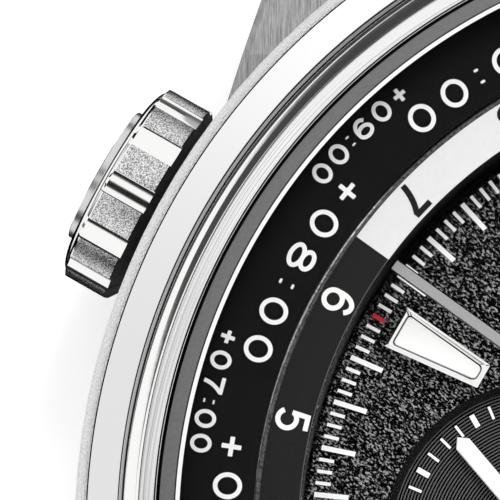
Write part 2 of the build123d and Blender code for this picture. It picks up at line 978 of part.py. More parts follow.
# Wheels under the dial
def world_idler():
    """Double wheel between the hour wheel and the 24 hour ring."""
    body = gear(idler_small_teeth, idler_small_pitch, level_two, level_two + wheel_thickness,
                (0, 0), gap_phase(idler_angle + 180, idler_small_teeth))
    body += gear(idler_large_teeth, idler_large_pitch, level_three, level_three + wheel_thickness,
                 (0, 0), idler_angle)
    body += disc(arbor_radius * 2, level_two, level_three)
    body += disc(arbor_radius, plate_top + pivot_fit, level_two)
    body += disc(pivot_radius, plate_top - pivot_depth + pivot_fit, plate_top + first_level)
    place = polar(idler_distance, idler_angle)
    return Pos(place[0], place[1], 0) * body


def hour_wheel():
    """Hour wheel on its pipe."""
    body = gear(hour_teeth, hour_pitch, level_two, level_two + wheel_thickness, (0, 0), minute_angle)
    body += disc(hour_pipe_radius, level_two, hour_hand_bottom + hour_hand_thickness)
    return body - disc(hour_pipe_bore, 0, crystal_top)


def minute_wheel():
    """Minute wheel with its pinion."""
    toward_centre = minute_angle + 180
    body = gear(minute_teeth, minute_pitch, level_one, level_one + wheel_thickness, (0, 0),
                gap_phase(toward_centre, minute_teeth))
    body += gear(minute_pinion_teeth, minute_pinion_pitch, level_one, level_two + wheel_thickness,
                 (0, 0), gap_phase(toward_centre, minute_pinion_teeth))
    body += disc(pivot_radius, plate_top - pivot_depth + pivot_fit, level_one)
    place = polar(minute_distance, minute_angle)
    return Pos(place[0], place[1], 0) * body


def cannon_pinion():
    """Cannon pinion whose pipe carries the minute hand."""
    body = gear(cannon_teeth, cannon_pitch, level_one, level_one + wheel_thickness, (0, 0),
                minute_angle)
    body += disc(cannon_radius, level_one, minute_hand_bottom + minute_hand_thickness)
    return body - disc(cannon_bore, 0, crystal_top)


# Dial
def dial():
    """Dial disc with the centre hole and two counter windows."""
    body = disc(dial_radius + dial_overlap, dial_bottom, dial_top)
    body -= disc(hour_pipe_radius + dial_hole_gap, 0, crystal_top)
    for side in (1, -1):
        body -= disc(counter_radius, 0, crystal_top, (side * counter_offset, 0))
    return body


def counter_dials():
    """Two sunk counter plates fixed under the dial."""
    plates = []
    for side in (-1, 1):
        centre = (side * counter_offset, 0)
        plate = disc(counter_radius + counter_seat, dial_bottom - counter_plate_thickness,
                     dial_bottom, centre)
        rim = ring(counter_radius - slide_fit, counter_radius - counter_rim_width - slide_fit,
                   dial_bottom, dial_bottom + counter_rim_height, centre)
        plates.append(plate + rim - disc(counter_hole_radius, 0, crystal_top, centre))
    return group(*plates)


def marker_outline(inner, width, grow=0):
    """Wedge outline of a marker along +X, wider at the rim."""
    taper = tan(radians(marker_taper))
    inner_half = width / 2 - (marker_outer - inner) * taper
    inner_at = inner - grow
    outer_at = marker_outer + grow
    return [
        (inner_at, -inner_half - grow),
        (outer_at, -width / 2 - grow),
        (outer_at, width / 2 + grow),
        (inner_at, inner_half + grow),
    ]


def marker_places():
    """Clock angle, inner radius and width of every marker."""
    places = []
    for hour in range(1, 13):
        if hour == 12:
            places.append((-twin_marker_spread, marker_inner, twin_marker_width))
            places.append((twin_marker_spread, marker_inner, twin_marker_width))
        elif hour in (3, 9):
            places.append((hour * 30, short_marker_inner, marker_width))
        else:
            places.append((hour * 30, marker_inner, marker_width))
    return places


def hour_markers():
    """Applied wedge frames that stand on the dial."""
    markers = []
    for clock, inner, width in marker_places():
        frame = prism(marker_outline(inner, width), dial_top, dial_top + marker_height)
        frame -= prism(marker_outline(inner, width, -marker_frame), dial_top + marker_floor,
                       crystal_top)
        markers.append(Rot(0, 0, 90 - clock) * frame)
    return group(*markers)


def marker_lume():
    """Inlays in the markers."""
    inlays = []
    for clock, inner, width in marker_places():
        inlay = prism(marker_outline(inner, width, -marker_frame), dial_top + marker_floor,
                      dial_top + marker_height - marker_lume_drop)
        inlays.append(Rot(0, 0, 90 - clock) * inlay)
    return group(*inlays)


# Hands
def hand_outline(length, width):
    """Baton outline along +X with a short point."""
    root = width * hand_root_width_share / 2
    point = width * hand_point_share
    return [
        (0, -root),
        (length - point, -width / 2),
        (length, 0),
        (length - point, width / 2),
        (0, root),
    ]


def slot_outline(length, width):
    """Outline of the inlay slot of a baton hand."""
    point = width * hand_point_share
    inner_half = width * hand_root_width_share / 2 - hand_slot_margin / 2
    outer_half = width / 2 - hand_slot_margin
    outer = length - point - hand_slot_margin
    return [
        (hand_slot_start, -inner_half),
        (outer, -outer_half),
        (outer + outer_half, 0),
        (outer, outer_half),
        (hand_slot_start, inner_half),
    ]


def baton_hand(length, width, hub, bore, bottom, thickness, clock):
    """Hour or minute hand with a slot for its inlay."""
    top = bottom + thickness
    body = prism(hand_outline(length, width), bottom, top) + disc(hub, bottom, top)
    body -= prism(slot_outline(length, width), top - hand_slot_depth, top + overrun)
    body -= disc(bore, bottom - overrun, top + overrun)
    return Rot(0, 0, 90 - clock) * body


def hour_hand():
    return baton_hand(hour_hand_length, hour_hand_width, hour_hub_radius, hour_pipe_radius,
                      hour_hand_bottom, hour_hand_thickness, hour_hand_angle)


def minute_hand():
    return baton_hand(minute_hand_length, minute_hand_width, minute_hub_radius, cannon_radius,
                      minute_hand_bottom, minute_hand_thickness, minute_hand_angle)


def chrono_seconds_hand():
    """Long baton hand with a round counterweight."""
    bottom = chrono_hand_bottom
    top = bottom + chrono_hand_thickness
    length = chrono_hand_length + chrono_tail
    bar = block(length, chrono_hand_width, bottom, top, (chrono_hand_length - length / 2, 0))
    weight = disc(chrono_weight_radius, bottom, top, (-chrono_tail, 0))
    hub = disc(chrono_hub_radius, bottom, top)
    body = bar + weight + hub - disc(chrono_arbor_radius, 0, crystal_top)
    return Rot(0, 0, 90 - chrono_hand_angle) * body


def chrono_arbor():
    """Long arbor through the centre tube, with a wheel near the bridge."""
    body = disc(chrono_arbor_radius, bridge_top - train_pivot_depth + pivot_fit,
                chrono_hand_bottom + chrono_hand_thickness)
    wheel_bottom = bridge_top + pivot_fit
    return body + disc(wheel_hub_radius, wheel_bottom, wheel_bottom + barrel_bottom_gap)


def counter_hand(side, clock):
    """Counter hand on its arbor with a cam under the dial."""
    bottom = counter_hand_bottom
    top = bottom + counter_hand_thickness
    half = counter_hand_width / 2
    outline = [
        (-counter_hand_tail, -half),
        (counter_hand_length - half, -half),
        (counter_hand_length, 0),
        (counter_hand_length - half, half),
        (-counter_hand_tail, half),
    ]
    hand = prism(outline, bottom, top) + disc(counter_hub_radius, bottom, top)
    hand = Rot(0, 0, 90 - clock) * hand
    arbor = disc(pivot_radius, plate_top - pivot_depth + pivot_fit, top)
    cam = disc(counter_cam_radius, level_one, level_one + wheel_thickness)
    return Pos(side * counter_offset, 0, 0) * (hand + arbor + cam)


# Going train
def train_places():
    """Centres of the train arbors and the directions between them."""
    centre_pinion = barrel_pitch * centre_pinion_teeth / barrel_teeth
    third_pinion = centre_pitch * third_pinion_teeth / centre_teeth
    fourth_pinion = third_pitch * fourth_pinion_teeth / third_teeth
    escape_pinion = fourth_pitch * escape_pinion_teeth / fourth_teeth
    barrel = clock_point(barrel_pitch + centre_pinion, barrel_clock)
    third = clock_point(centre_pitch + third_pinion, third_clock)
    fourth = moved(third, clock_point(third_pitch + fourth_pinion, fourth_clock))
    escape = moved(fourth, clock_point(fourth_pitch + escape_pinion, escape_clock))
    return {
        "barrel": barrel, "third": third, "fourth": fourth, "escape": escape,
        "centre_pinion": centre_pinion, "third_pinion": third_pinion,
        "fourth_pinion": fourth_pinion, "escape_pinion": escape_pinion,
    }


places = train_places()
low_wheel = bridge_top + low_wheel_rise
high_wheel = plate_bottom - high_wheel_drop - wheel_thickness


def pivoted(centre):
    """Arbor with a pivot in the bridge and one in the main plate."""
    shaft = disc(arbor_radius, bridge_top + pivot_fit, plate_bottom - pivot_fit, centre)
    pivot = disc(pivot_radius, bridge_top - train_pivot_depth + pivot_fit,
                 plate_bottom + train_pivot_depth - pivot_fit, centre)
    return shaft + pivot


def mainspring_barrel():
    """Barrel drum with its teeth, lid and arbor."""
    centre = places["barrel"]
    toward = 90 - barrel_clock + 180
    bottom = bridge_top + barrel_bottom_gap
    teeth = gear(barrel_teeth, barrel_pitch, bottom, bottom + barrel_gear_height, centre, toward)
    drum = disc(barrel_pitch - barrel_wall_drop, bottom, bottom + barrel_height, centre)
    return teeth + drum + pivoted(centre)


def centre_wheel():
    """Centre wheel and pinion on the hollow centre tube."""
    bottom = bridge_top + barrel_bottom_gap + wheel_thickness
    pinion_top = bottom + pinion_height
    pinion = gear(centre_pinion_teeth, places["centre_pinion"], bottom, pinion_top, (0, 0),
                  gap_phase(90 - barrel_clock, centre_pinion_teeth))
    wheel = spoked(centre_teeth, centre_pitch, high_wheel, high_wheel + wheel_thickness, (0, 0),
                   90 - third_clock)
    tube = disc(centre_tube_radius, bottom, level_two + wheel_thickness)
    return pinion + wheel + tube - disc(centre_tube_bore, 0, crystal_top)


def third_wheel():
    centre = places["third"]
    pinion = gear(third_pinion_teeth, places["third_pinion"], high_wheel - wheel_thickness / 2,
                  plate_bottom - pivot_fit, centre, gap_phase(90 - third_clock + 180,
                                                              third_pinion_teeth))
    wheel = spoked(third_teeth, third_pitch, low_wheel, low_wheel + wheel_thickness, centre,
                   90 - fourth_clock)
    return pinion + wheel + pivoted(centre)


def fourth_wheel():
    centre = places["fourth"]
    pinion = gear(fourth_pinion_teeth, places["fourth_pinion"], low_wheel - wheel_thickness / 2,
                  low_wheel + pinion_height, centre, gap_phase(90 - fourth_clock + 180,
                                                               fourth_pinion_teeth))
    wheel = spoked(fourth_teeth, fourth_pitch, high_wheel, high_wheel + wheel_thickness, centre,
                   90 - escape_clock)
    return pinion + wheel + pivoted(centre)


def escape_wheel():
    """Escape wheel with pointed teeth."""
    centre = places["escape"]
    step = 360 / escape_teeth
    outline = []
    for index in range(escape_teeth):
        outline.append(polar(escape_root, index * step))
        outline.append(polar(escape_tip, (index + 1 / 3) * step))
        outline.append(polar(escape_root, (index + 1 / 2) * step))
    wheel = prism(outline, low_wheel, low_wheel + wheel_thickness)
    wheel -= ring(escape_root * rim_share, wheel_hub_radius, 0, crystal_top)
    spoke = block(2 * escape_root * rim_share, spoke_width, low_wheel, low_wheel + wheel_thickness)
    wheel += spoke + Rot(0, 0, 90) * spoke
    wheel = Pos(centre[0], centre[1], 0) * wheel
    pinion = gear(escape_pinion_teeth, places["escape_pinion"], high_wheel - wheel_thickness / 2,
                  plate_bottom - pivot_fit, centre, gap_phase(90 - escape_clock + 180,
                                                              escape_pinion_teeth))
    slim = disc(pivot_radius, bridge_top + pivot_fit, plate_bottom - pivot_fit, centre)
    pivot = disc(pivot_radius, bridge_top - train_pivot_depth + pivot_fit,
                 plate_bottom + train_pivot_depth - pivot_fit, centre)
    return wheel + pinion + slim + pivot


# Escapement
def pallet_fork():
    """Lever with two stones beside the escape wheel."""
    bottom = bridge_top + pallet_rise
    top = bottom + pallet_thickness
    centre = (pallet_x, pallet_y)
    balance = (balance_x, balance_y)
    escape = places["escape"]
    lever_direction = degrees(atan2(balance[1] - centre[1], balance[0] - centre[0]))
    lever_length = hypot(balance[0] - centre[0], balance[1] - centre[1]) - pallet_lever_end_gap
    lever = block(lever_length, pallet_lever_width, bottom, top, (lever_length / 2, 0))
    body = Pos(centre[0], centre[1], 0) * Rot(0, 0, lever_direction) * lever
    toward = degrees(atan2(escape[1] - centre[1], escape[0] - centre[0]))
    for side in (1, -1):
        arm = block(pallet_arm, pallet_arm_width, bottom, top, (pallet_arm / 2, 0))
        body += Pos(centre[0], centre[1], 0) * Rot(0, 0, toward + side * 90) * arm
        tip = moved(centre, polar(pallet_arm, toward + side * 90))
        span = hypot(escape[0] - tip[0], escape[1] - tip[1])
        aim = degrees(atan2(escape[1] - tip[1], escape[0] - tip[0]))
        reach = span - escape_tip - pallet_stone_clearance
        stone = block(reach, pallet_stone_width, bottom, top, (reach / 2, 0))
        body += Pos(tip[0], tip[1], 0) * Rot(0, 0, aim) * stone
    hub = disc(arbor_radius, bottom, top, centre)
    pivot = disc(pivot_radius, bridge_top - train_pivot_depth + pivot_fit,
                 plate_bottom + train_pivot_depth - pivot_fit, centre)
    return body + hub + pivot


def balance_wheel():
    """Balance wheel on its staff with the roller."""
    centre = (balance_x, balance_y)
    bottom = bridge_top + balance_rise
    top = bottom + balance_height
    rim = ring(balance_radius, balance_radius - balance_rim, bottom, top)
    for index in range(balance_spokes):
        spoke = block(balance_radius - balance_rim / 2, spoke_width, bottom, top,
                      ((balance_radius - balance_rim / 2) / 2, 0))
        rim += Rot(0, 0, index * 360 / balance_spokes) * spoke
    staff = disc(staff_radius, bridge_top + pivot_fit, plate_bottom - pivot_fit)
    pivot = disc(pivot_radius / 2, bridge_top - train_pivot_depth + pivot_fit,
                 plate_bottom + train_pivot_depth - pivot_fit)
    roller_bottom = bridge_top + roller_rise
    roller = disc(roller_radius, roller_bottom, roller_bottom + roller_height)
    return Pos(centre[0], centre[1], 0) * (rim + staff + pivot + roller)


def hairspring():
    """Flat spiral between the cock and the balance, one unbroken band."""
    bottom = bridge_top + spring_rise
    count = spring_turns * spring_steps
    inner_side = []
    outer_side = []
    for index in range(count + 1):
        share = index / count
        radius = spring_inner + (spring_outer - spring_inner) * share
        angle = 360 * spring_turns * share
        inner_side.append(polar(radius, angle))
        outer_side.append(polar(radius + spring_band, angle))
    band = prism(inner_side + outer_side[::-1], bottom, bottom + spring_height)
    return Pos(balance_x, balance_y, 0) * band


# Plates and bridges
def main_plate():
    """Main plate with its flange, posts, pivot holes and the block round the stem."""
    flange_bottom = plate_top - holder_seat_depth
    body = disc(holder_bore - case_fit, plate_bottom, plate_top)
    body += disc(holder_flange_bore - slide_fit, flange_bottom, plate_top)
    for angle in post_angles:
        body += disc(post_radius, plate_top, dial_bottom, polar(post_circle, angle))
    body += block(stem_block_length, stem_block_width, plate_bottom - stem_block_drop, plate_bottom,
                  (stem_block_start + stem_block_length / 2, 0))
    stem_hole = disc(stem_radius + slide_fit, 0, case_radius)
    body -= radial(stem_hole, 90, crown_height)
    module = 2 * pinion_pitch / pinion_teeth
    pinion_tip = pinion_pitch + addendum_share * module
    pinion_room = disc(pinion_tip + pocket_gap, stem_inner_end - pocket_gap,
                       pinion_inner + pinion_length + pocket_gap)
    body -= radial(pinion_room, 90, crown_height)
    body -= disc(centre_tube_radius + pivot_fit, 0, crystal_top)
    for name in ("barrel", "third", "fourth", "escape"):
        body -= disc(pivot_radius + pivot_fit, 0, plate_bottom + train_pivot_depth, places[name])
    body -= disc(pivot_radius + pivot_fit, 0, plate_bottom + train_pivot_depth,
                 (pallet_x, pallet_y))
    body -= disc(pivot_radius / 2 + pivot_fit, 0, plate_bottom + train_pivot_depth,
                 (balance_x, balance_y))
    under_dial = [polar(idler_distance, idler_angle), polar(minute_distance, minute_angle),
                  (counter_offset, 0), (-counter_offset, 0)]
    for centre in under_dial:
        body -= disc(pivot_radius + pivot_fit, plate_top - pivot_depth, crystal_top, centre)
    return body


def half_plane(clock, offset, keep_beyond):
    """Large block on one side of a line across the movement."""
    size = 4 * bridge_radius
    shift = offset + size / 2 if keep_beyond else offset - size / 2
    slab = block(size, size, bridge_bottom - overrun, bridge_top + overrun, (shift, 0))
    return Rot(0, 0, 90 - clock) * slab


def bridge_blank():
    """Bridge disc with bevelled edge and the open place of the balance."""
    blank = turned([
        (0, bridge_bottom),
        (bridge_radius - bridge_bevel, bridge_bottom),
        (bridge_radius, bridge_bottom + bridge_bevel),
        (bridge_radius, bridge_top),
        (0, bridge_top),
    ])
    balance_at = (balance_x, balance_y)
    outward = hypot(balance_x, balance_y)
    aim = degrees(atan2(balance_y, balance_x))
    gap = disc(balance_window, 0, crystal_top, balance_at)
    gap += Rot(0, 0, aim) * block(2 * outward, 2 * balance_window - overrun, 0, crystal_top,
                                  (2 * outward, 0))
    return blank - gap


def pillars(clocks):
    """Pillars between a bridge and the main plate."""
    feet = [disc(pillar_radius, bridge_top - pivot_fit, plate_bottom, clock_point(pillar_circle, clock))
            for clock in clocks]
    body = feet[0]
    for foot in feet[1:]:
        body += foot
    return body


def barrel_bridge():
    """Bridge over the barrel, on three pillars."""
    body = bridge_blank() & half_plane(barrel_clock, bridge_split, True)
    body += pillars(barrel_pillar_clocks)
    body -= screw_sinks(barrel_pillar_clocks)
    return body - disc(jewel_radius, bridge_bottom - overrun, bridge_bottom + jewel_thickness,
                       places["barrel"]) - disc(pivot_radius + pivot_fit, 0, crystal_top,
                                                places["barrel"])


def screw_sinks(clocks):
    """Counterbores and holes for bridge screws."""
    cutter = None
    for clock in clocks:
        point = clock_point(pillar_circle, clock)
        head = disc(screw_head_radius, bridge_bottom - overrun, bridge_bottom + screw_head_height,
                    point)
        shank = disc(screw_shank_radius, bridge_bottom - overrun,
                     bridge_bottom + screw_head_height + screw_shank_length, point)
        cutter = head + shank if cutter is None else cutter + head + shank
    return cutter


def train_jewel_points():
    return [places["third"], places["fourth"], places["escape"], (pallet_x, pallet_y)]


def train_bridge():
    """Bridge over the train that also carries the rotor."""
    body = bridge_blank() & half_plane(barrel_clock, bridge_split - bridge_slit, False)
    body += pillars(train_pillar_clocks)
    body -= screw_sinks(train_pillar_clocks)
    for point in train_jewel_points():
        body -= disc(jewel_radius, bridge_bottom - overrun, bridge_bottom + jewel_thickness, point)
        body -= disc(pivot_radius + pivot_fit, 0, crystal_top, point)
    body -= disc(rotor_post_radius, 0, bridge_top - train_pivot_depth)
    return body - disc(chrono_arbor_radius + pivot_fit, 0, crystal_top)


def cock_foot():
    """Centre of the foot of the balance cock, near the edge of the movement."""
    outward = hypot(balance_x, balance_y)
    share = (bridge_radius - cock_arm_radius) / outward
    return (balance_x * share, balance_y * share)


def balance_cock():
    """Cock that reaches in over the balance from the edge."""
    foot = cock_foot()
    arm_length = hypot(foot[0] - balance_x, foot[1] - balance_y)
    aim = degrees(atan2(foot[1] - balance_y, foot[0] - balance_x))
    arm = block(arm_length, 2 * cock_arm_radius, bridge_bottom, bridge_top, (arm_length / 2, 0))
    body = Pos(balance_x, balance_y, 0) * Rot(0, 0, aim) * arm
    body += disc(cock_arm_radius, bridge_bottom, bridge_top, (balance_x, balance_y))
    body += disc(cock_foot_radius, bridge_bottom, bridge_top, foot)
    body &= disc(bridge_radius, bridge_bottom, bridge_top)
    clear = ring(bridge_radius, balance_window - cock_gap, bridge_top - pivot_fit, plate_bottom,
                 (0, 0))
    pillar = disc(cock_foot_radius, bridge_top - pivot_fit, plate_bottom, foot) & clear
    pillar -= disc(balance_radius + cock_gap, 0, crystal_top, (balance_x, balance_y))
    body += pillar
    body -= disc(jewel_radius, bridge_bottom - overrun, bridge_bottom + jewel_thickness,
                 (balance_x, balance_y))
    return body - disc(pivot_radius / 2 + pivot_fit, 0, plate_bottom, (balance_x, balance_y))


def jewels():
    """Pressed pivot jewels of the bridges."""
    stones = []
    for point in train_jewel_points() + [places["barrel"]]:
        stones.append(ring(jewel_radius, pivot_radius + pivot_fit, bridge_bottom,
                           bridge_bottom + jewel_thickness, point))
    stones.append(ring(jewel_radius, pivot_radius / 2 + pivot_fit, bridge_bottom,
                       bridge_bottom + jewel_thickness, (balance_x, balance_y)))
    return group(*stones)


def bridge_screws():
    """Slotted screws that hold the bridges."""
    screws = []
    for clock in barrel_pillar_clocks + train_pillar_clocks:
        point = clock_point(pillar_circle, clock)
        screw = disc(screw_head_radius - pivot_fit, bridge_bottom, bridge_bottom + screw_head_height)
        screw += disc(screw_shank_radius - pivot_fit, bridge_bottom,
                      bridge_bottom + screw_head_height + screw_shank_length)
        screw -= block(3 * screw_head_radius, screw_slot_width, bridge_bottom - overrun,
                       bridge_bottom + screw_slot_depth)
        screws.append(Pos(point[0], point[1], 0) * Rot(0, 0, clock) * screw)
    return group(*screws)


# Rotor
def rotor_post():
    """Post with a head that carries the rotor on the train bridge."""
    head_bottom = rotor_top - rotor_hub_height - rotor_axial_gap - rotor_post_head_height
    head_top = head_bottom + rotor_post_head_height
    post = disc(rotor_post_radius, head_bottom, bridge_bottom)
    spigot = disc(rotor_post_radius, bridge_bottom, bridge_top - train_pivot_depth)
    shoulder = disc(rotor_post_head, rotor_top + rotor_axial_gap, bridge_bottom)
    head = disc(rotor_post_head, head_bottom, head_top)
    body = post + spigot + shoulder + head
    return body - disc(chrono_arbor_radius + pivot_fit, bridge_bottom, crystal_top)


def sector(inner, outer, span, bottom, top, middle=0):
    """Ring sector about an angle."""
    steps = 8
    half = span / 2
    far = [polar(outer * 2, middle - half + span * index / steps) for index in range(steps + 1)]
    wedge = prism([(0, 0)] + far, bottom, top)
    return wedge & ring(outer, inner, bottom, top)


def rotor():
    """Half round winding rotor with a thick rim."""
    middle = 90 - rotor_clock
    web_bottom = rotor_top - rotor_web
    web = sector(rotor_hub_radius / 2, rotor_radius, rotor_span, web_bottom, rotor_top, middle)
    rim = sector(rotor_radius - rotor_rim_width, rotor_radius, rotor_span, rotor_bottom, rotor_top,
                 middle)
    hub = disc(rotor_hub_radius, rotor_top - rotor_hub_height, rotor_top)
    body = web + rim + hub
    for side in (-1, 1):
        body -= sector(rotor_window_inner, rotor_window_outer, rotor_window_span,
                       web_bottom - overrun, rotor_top + overrun,
                       middle + side * rotor_window_offset)
    return body - disc(rotor_post_radius + pivot_fit, 0, crystal_top)


# Spring bars, strap and buckle
def spring_bars():
    """Spring bars between the lugs."""
    bars = []
    length = lug_gap - 2 * case_fit
    for side in (1, -1):
        bar = Cylinder(bar_radius, length) + Cylinder(bar_tip_radius, lug_gap + 2 * bar_tip_reach)
        bars.append(Pos(0, side * bar_distance, bar_height) * Rot(0, 90, 0) * bar)
    return group(*bars)


def strap_lift():
    """Height of the buckle half over the table, because it lies on its keepers."""
    return keeper_wall + keeper_clearance + keeper_table_gap


def strap_side(length, end_round, lift):
    """Side profile of a strap half at 12, as a face in the YZ plane."""
    bar = (bar_distance, bar_height)
    low_tip = lift + strap_tip_thickness
    top_start = (bar[0], bar[1] + strap_head_radius)
    low_start = (bar[0], bar[1] - strap_head_radius)
    run = bar[0] + strap_drop_run
    tip = bar[0] + length
    taper = min(run + strap_taper_run, tip - end_round)
    fall = (strap_thickness - strap_tip_thickness) / (taper - run)
    outline = [
        ThreePointArc(low_start, (bar[0] - strap_head_radius, bar[1]), top_start),
        Spline([top_start, (run, lift + strap_thickness)], tangents=[(1, 0), (1, -fall)]),
        Line((run, lift + strap_thickness), (taper, low_tip)),
        Line((taper, low_tip), (tip, low_tip)),
        Line((tip, low_tip), (tip, lift)),
        Line((tip, lift), (run, lift)),
        Spline([(run, lift), low_start], tangents=[(-1, 0), (-1, 0)]),
    ]
    return Plane.YZ * make_face(outline)


def strap_plan(length):
    """Plan of the strap half at 12."""
    start = bar_distance - strap_head_radius - overrun
    taper = bar_distance + strap_drop_run + strap_taper_run
    half = strap_width / 2
    end_half = strap_end_width / 2
    tip = bar_distance + length + overrun
    return [(-half, start), (half, start), (end_half, taper), (end_half, tip), (-end_half, tip),
            (-end_half, taper)]


def strap_bar_bore(radius):
    bore = Cylinder(radius + strap_bore_fit, strap_width + overrun)
    return Rot(0, 90, 0) * bore


def buckle_bar_y():
    return bar_distance + upper_length


def buckle_bar_z():
    return strap_lift() + strap_tip_thickness / 2


def strap_upper():
    """Strap half at 12 with the slot of the tang and the bore of the buckle bar."""
    length = upper_length + buckle_bar_radius + keeper_wall
    plan = prism(strap_plan(length), -overrun, crystal_top)
    side = strap_side(length, buckle_bar_radius, strap_lift())
    body = plan & (Pos(-strap_width, 0, 0) * extrude(side, 2 * strap_width))
    body -= Pos(0, bar_distance, bar_height) * strap_bar_bore(bar_radius)
    body -= Pos(0, buckle_bar_y(), buckle_bar_z()) * strap_bar_bore(buckle_bar_radius)
    slot_middle = buckle_bar_y() + length - upper_length - tang_slot_length / 2 + overrun / 2
    body -= block(tang_slot_width, tang_slot_length + overrun, -overrun, crystal_top,
                  (0, slot_middle))
    return body


def strap_lower():
    """Strap half at 6 with the holes and a rounded tip."""
    plan = prism(strap_plan(lower_length), -overrun, crystal_top)
    side = strap_side(lower_length, strap_end_width / 2, 0)
    body = plan & (Pos(-strap_width, 0, 0) * extrude(side, 2 * strap_width))
    tip = bar_distance + lower_length
    round_centre = tip - strap_end_width / 2
    corner = block(strap_end_width + overrun, strap_end_width / 2 + overrun, -overrun, crystal_top,
                   (0, round_centre + (strap_end_width / 2 + overrun) / 2))
    corner -= disc(strap_end_width / 2, -overrun - overrun, crystal_top + overrun, (0, round_centre))
    body -= corner
    body -= Pos(0, bar_distance, bar_height) * strap_bar_bore(bar_radius)
    for index in range(strap_hole_count):
        place = tip - strap_hole_start - index * strap_hole_pitch
        body -= disc(strap_hole_radius, -overrun, crystal_top, (0, place))
    return mirror(body, Plane.XZ)


def strap_half_at(distance):
    """Half width of the strap at a distance from the spring bar."""
    start = -strap_head_radius - overrun
    run = strap_drop_run + strap_taper_run
    share = min(1, (distance - start) / (run - start))
    return (strap_width + (strap_end_width - strap_width) * share) / 2


def keeper(distance, room):
    """Closed loop round the strap, with room for the layers inside it."""
    half = strap_half_at(distance) + keeper_clearance
    outer = block(2 * (half + keeper_wall), keeper_width, 0, room + 2 * keeper_clearance
                  + 2 * keeper_wall)
    inner = block(2 * half, keeper_width + overrun, keeper_wall, room + 2 * keeper_clearance
                  + keeper_wall)
    return Pos(0, bar_distance + distance, keeper_table_gap) * (outer - inner)


def buckle_frame():
    """Rounded frame of the pin buckle with the bar it turns on."""
    inner_half = strap_end_width / 2 + buckle_gap
    outer_half = inner_half + buckle_side_width
    bar_y = buckle_bar_y()
    middle_z = buckle_bar_z()
    low = middle_z - buckle_height / 2
    high = middle_z + buckle_height / 2
    rear = -buckle_side_width
    front = buckle_reach + buckle_front_width
    plate = Pos(0, (rear + front) / 2) * Rectangle(2 * outer_half, front - rear)
    plate = fillet(plate.vertices(), buckle_round)
    window = Pos(0, (rear - overrun + buckle_reach) / 2) * Rectangle(
        2 * inner_half, buckle_reach - rear + overrun)
    frame = Pos(0, bar_y, low) * extrude(plate - window, high - low)
    bar = Pos(0, bar_y, middle_z) * Rot(0, 90, 0) * Cylinder(buckle_bar_radius, 2 * outer_half
                                                             - buckle_side_width)
    return frame + bar


def buckle_tang():
    """Tang that swings on the buckle bar and rests on the frame."""
    bar_y = buckle_bar_y()
    middle_z = buckle_bar_z()
    eye = Rot(0, 90, 0) * Cylinder(tang_eye_radius, tang_width)
    bar_bottom = buckle_height / 2 + pivot_fit
    reach = buckle_reach + buckle_front_width / 2
    tongue = block(tang_width, reach, bar_bottom, bar_bottom + tang_thickness, (0, reach / 2))
    body = eye + tongue
    body -= Rot(0, 90, 0) * Cylinder(buckle_bar_radius + strap_bore_fit, tang_width + overrun)
    return Pos(0, bar_y, middle_z) * body


# Hand in: one file per node
def build():
    """Makes every node."""
    return {
        "case_middle": case_middle(),
        "bezel": bezel(),
        "crystal": crystal(),
        "crystal_gasket": crystal_gasket(),
        "caseback": caseback(),
        "caseback_window": caseback_window(),
        "caseback_gasket": caseback_gasket(),
        "movement_holder": movement_holder(),
        "stem_tubes": stem_tubes(),
        "main_crown": main_crown(),
        "winding_stem": winding_stem(),
        "winding_pinion": winding_pinion(),
        "city_crown": city_crown(),
        "city_stem": city_stem(),
        "city_setting_wheel": city_setting_wheel(),
        "start_pusher": pusher(pusher_clocks[0]),
        "reset_pusher": pusher(pusher_clocks[1]),
        "city_ring": city_ring(),
        "world_disc": world_disc(),
        "world_idler": world_idler(),
        "hour_wheel": hour_wheel(),
        "minute_wheel": minute_wheel(),
        "cannon_pinion": cannon_pinion(),
        "dial": dial(),
        "counter_dials": counter_dials(),
        "hour_markers": hour_markers(),
        "marker_lume": marker_lume(),
        "hour_hand": hour_hand(),
        "minute_hand": minute_hand(),
        "chrono_seconds_hand": chrono_seconds_hand(),
        "chrono_arbor": chrono_arbor(),
        "hour_counter_hand": counter_hand(-1, hour_counter_angle),
        "minute_counter_hand": counter_hand(1, minute_counter_angle),
        "mainspring_barrel": mainspring_barrel(),
        "centre_wheel": centre_wheel(),
        "third_wheel": third_wheel(),
        "fourth_wheel": fourth_wheel(),
        "escape_wheel": escape_wheel(),
        "pallet_fork": pallet_fork(),
        "balance_wheel": balance_wheel(),
        "hairspring": hairspring(),
        "main_plate": main_plate(),
        "barrel_bridge": barrel_bridge(),
        "train_bridge": train_bridge(),
        "balance_cock": balance_cock(),
        "jewels": jewels(),
        "bridge_screws": bridge_screws(),
        "rotor_post": rotor_post(),
        "rotor": rotor(),
        "spring_bars": spring_bars(),
        "strap_upper": strap_upper(),
        "strap_lower": strap_lower(),
        "buckle_frame": buckle_frame(),
        "buckle_tang": buckle_tang(),
        "fixed_keeper": keeper(keeper_fixed_distance, 2 * strap_tip_thickness),
        "sliding_keeper": keeper(keeper_loose_distance, 2 * strap_tip_thickness),
    }


os.makedirs("parts", exist_ok=True)
for node, shape in build().items():
    export_step(shape, "parts/" + node + ".step")
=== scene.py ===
# %% [markdown]
# # A world time watch, dressed for its photograph
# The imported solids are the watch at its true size. They are the fixed frame of this lesson:
# everything below is set round them in metres, in the same place and on the same bodies.
# The photograph comes so close that a round part cut into flat facets would show, so the
# visible rings, markers, hands and crowns are built again here with far finer steps.

# %% Load the frame
import math

import bmesh
import bpy
from mathutils import Matrix, Vector
from mathutils.geometry import tessellate_polygon


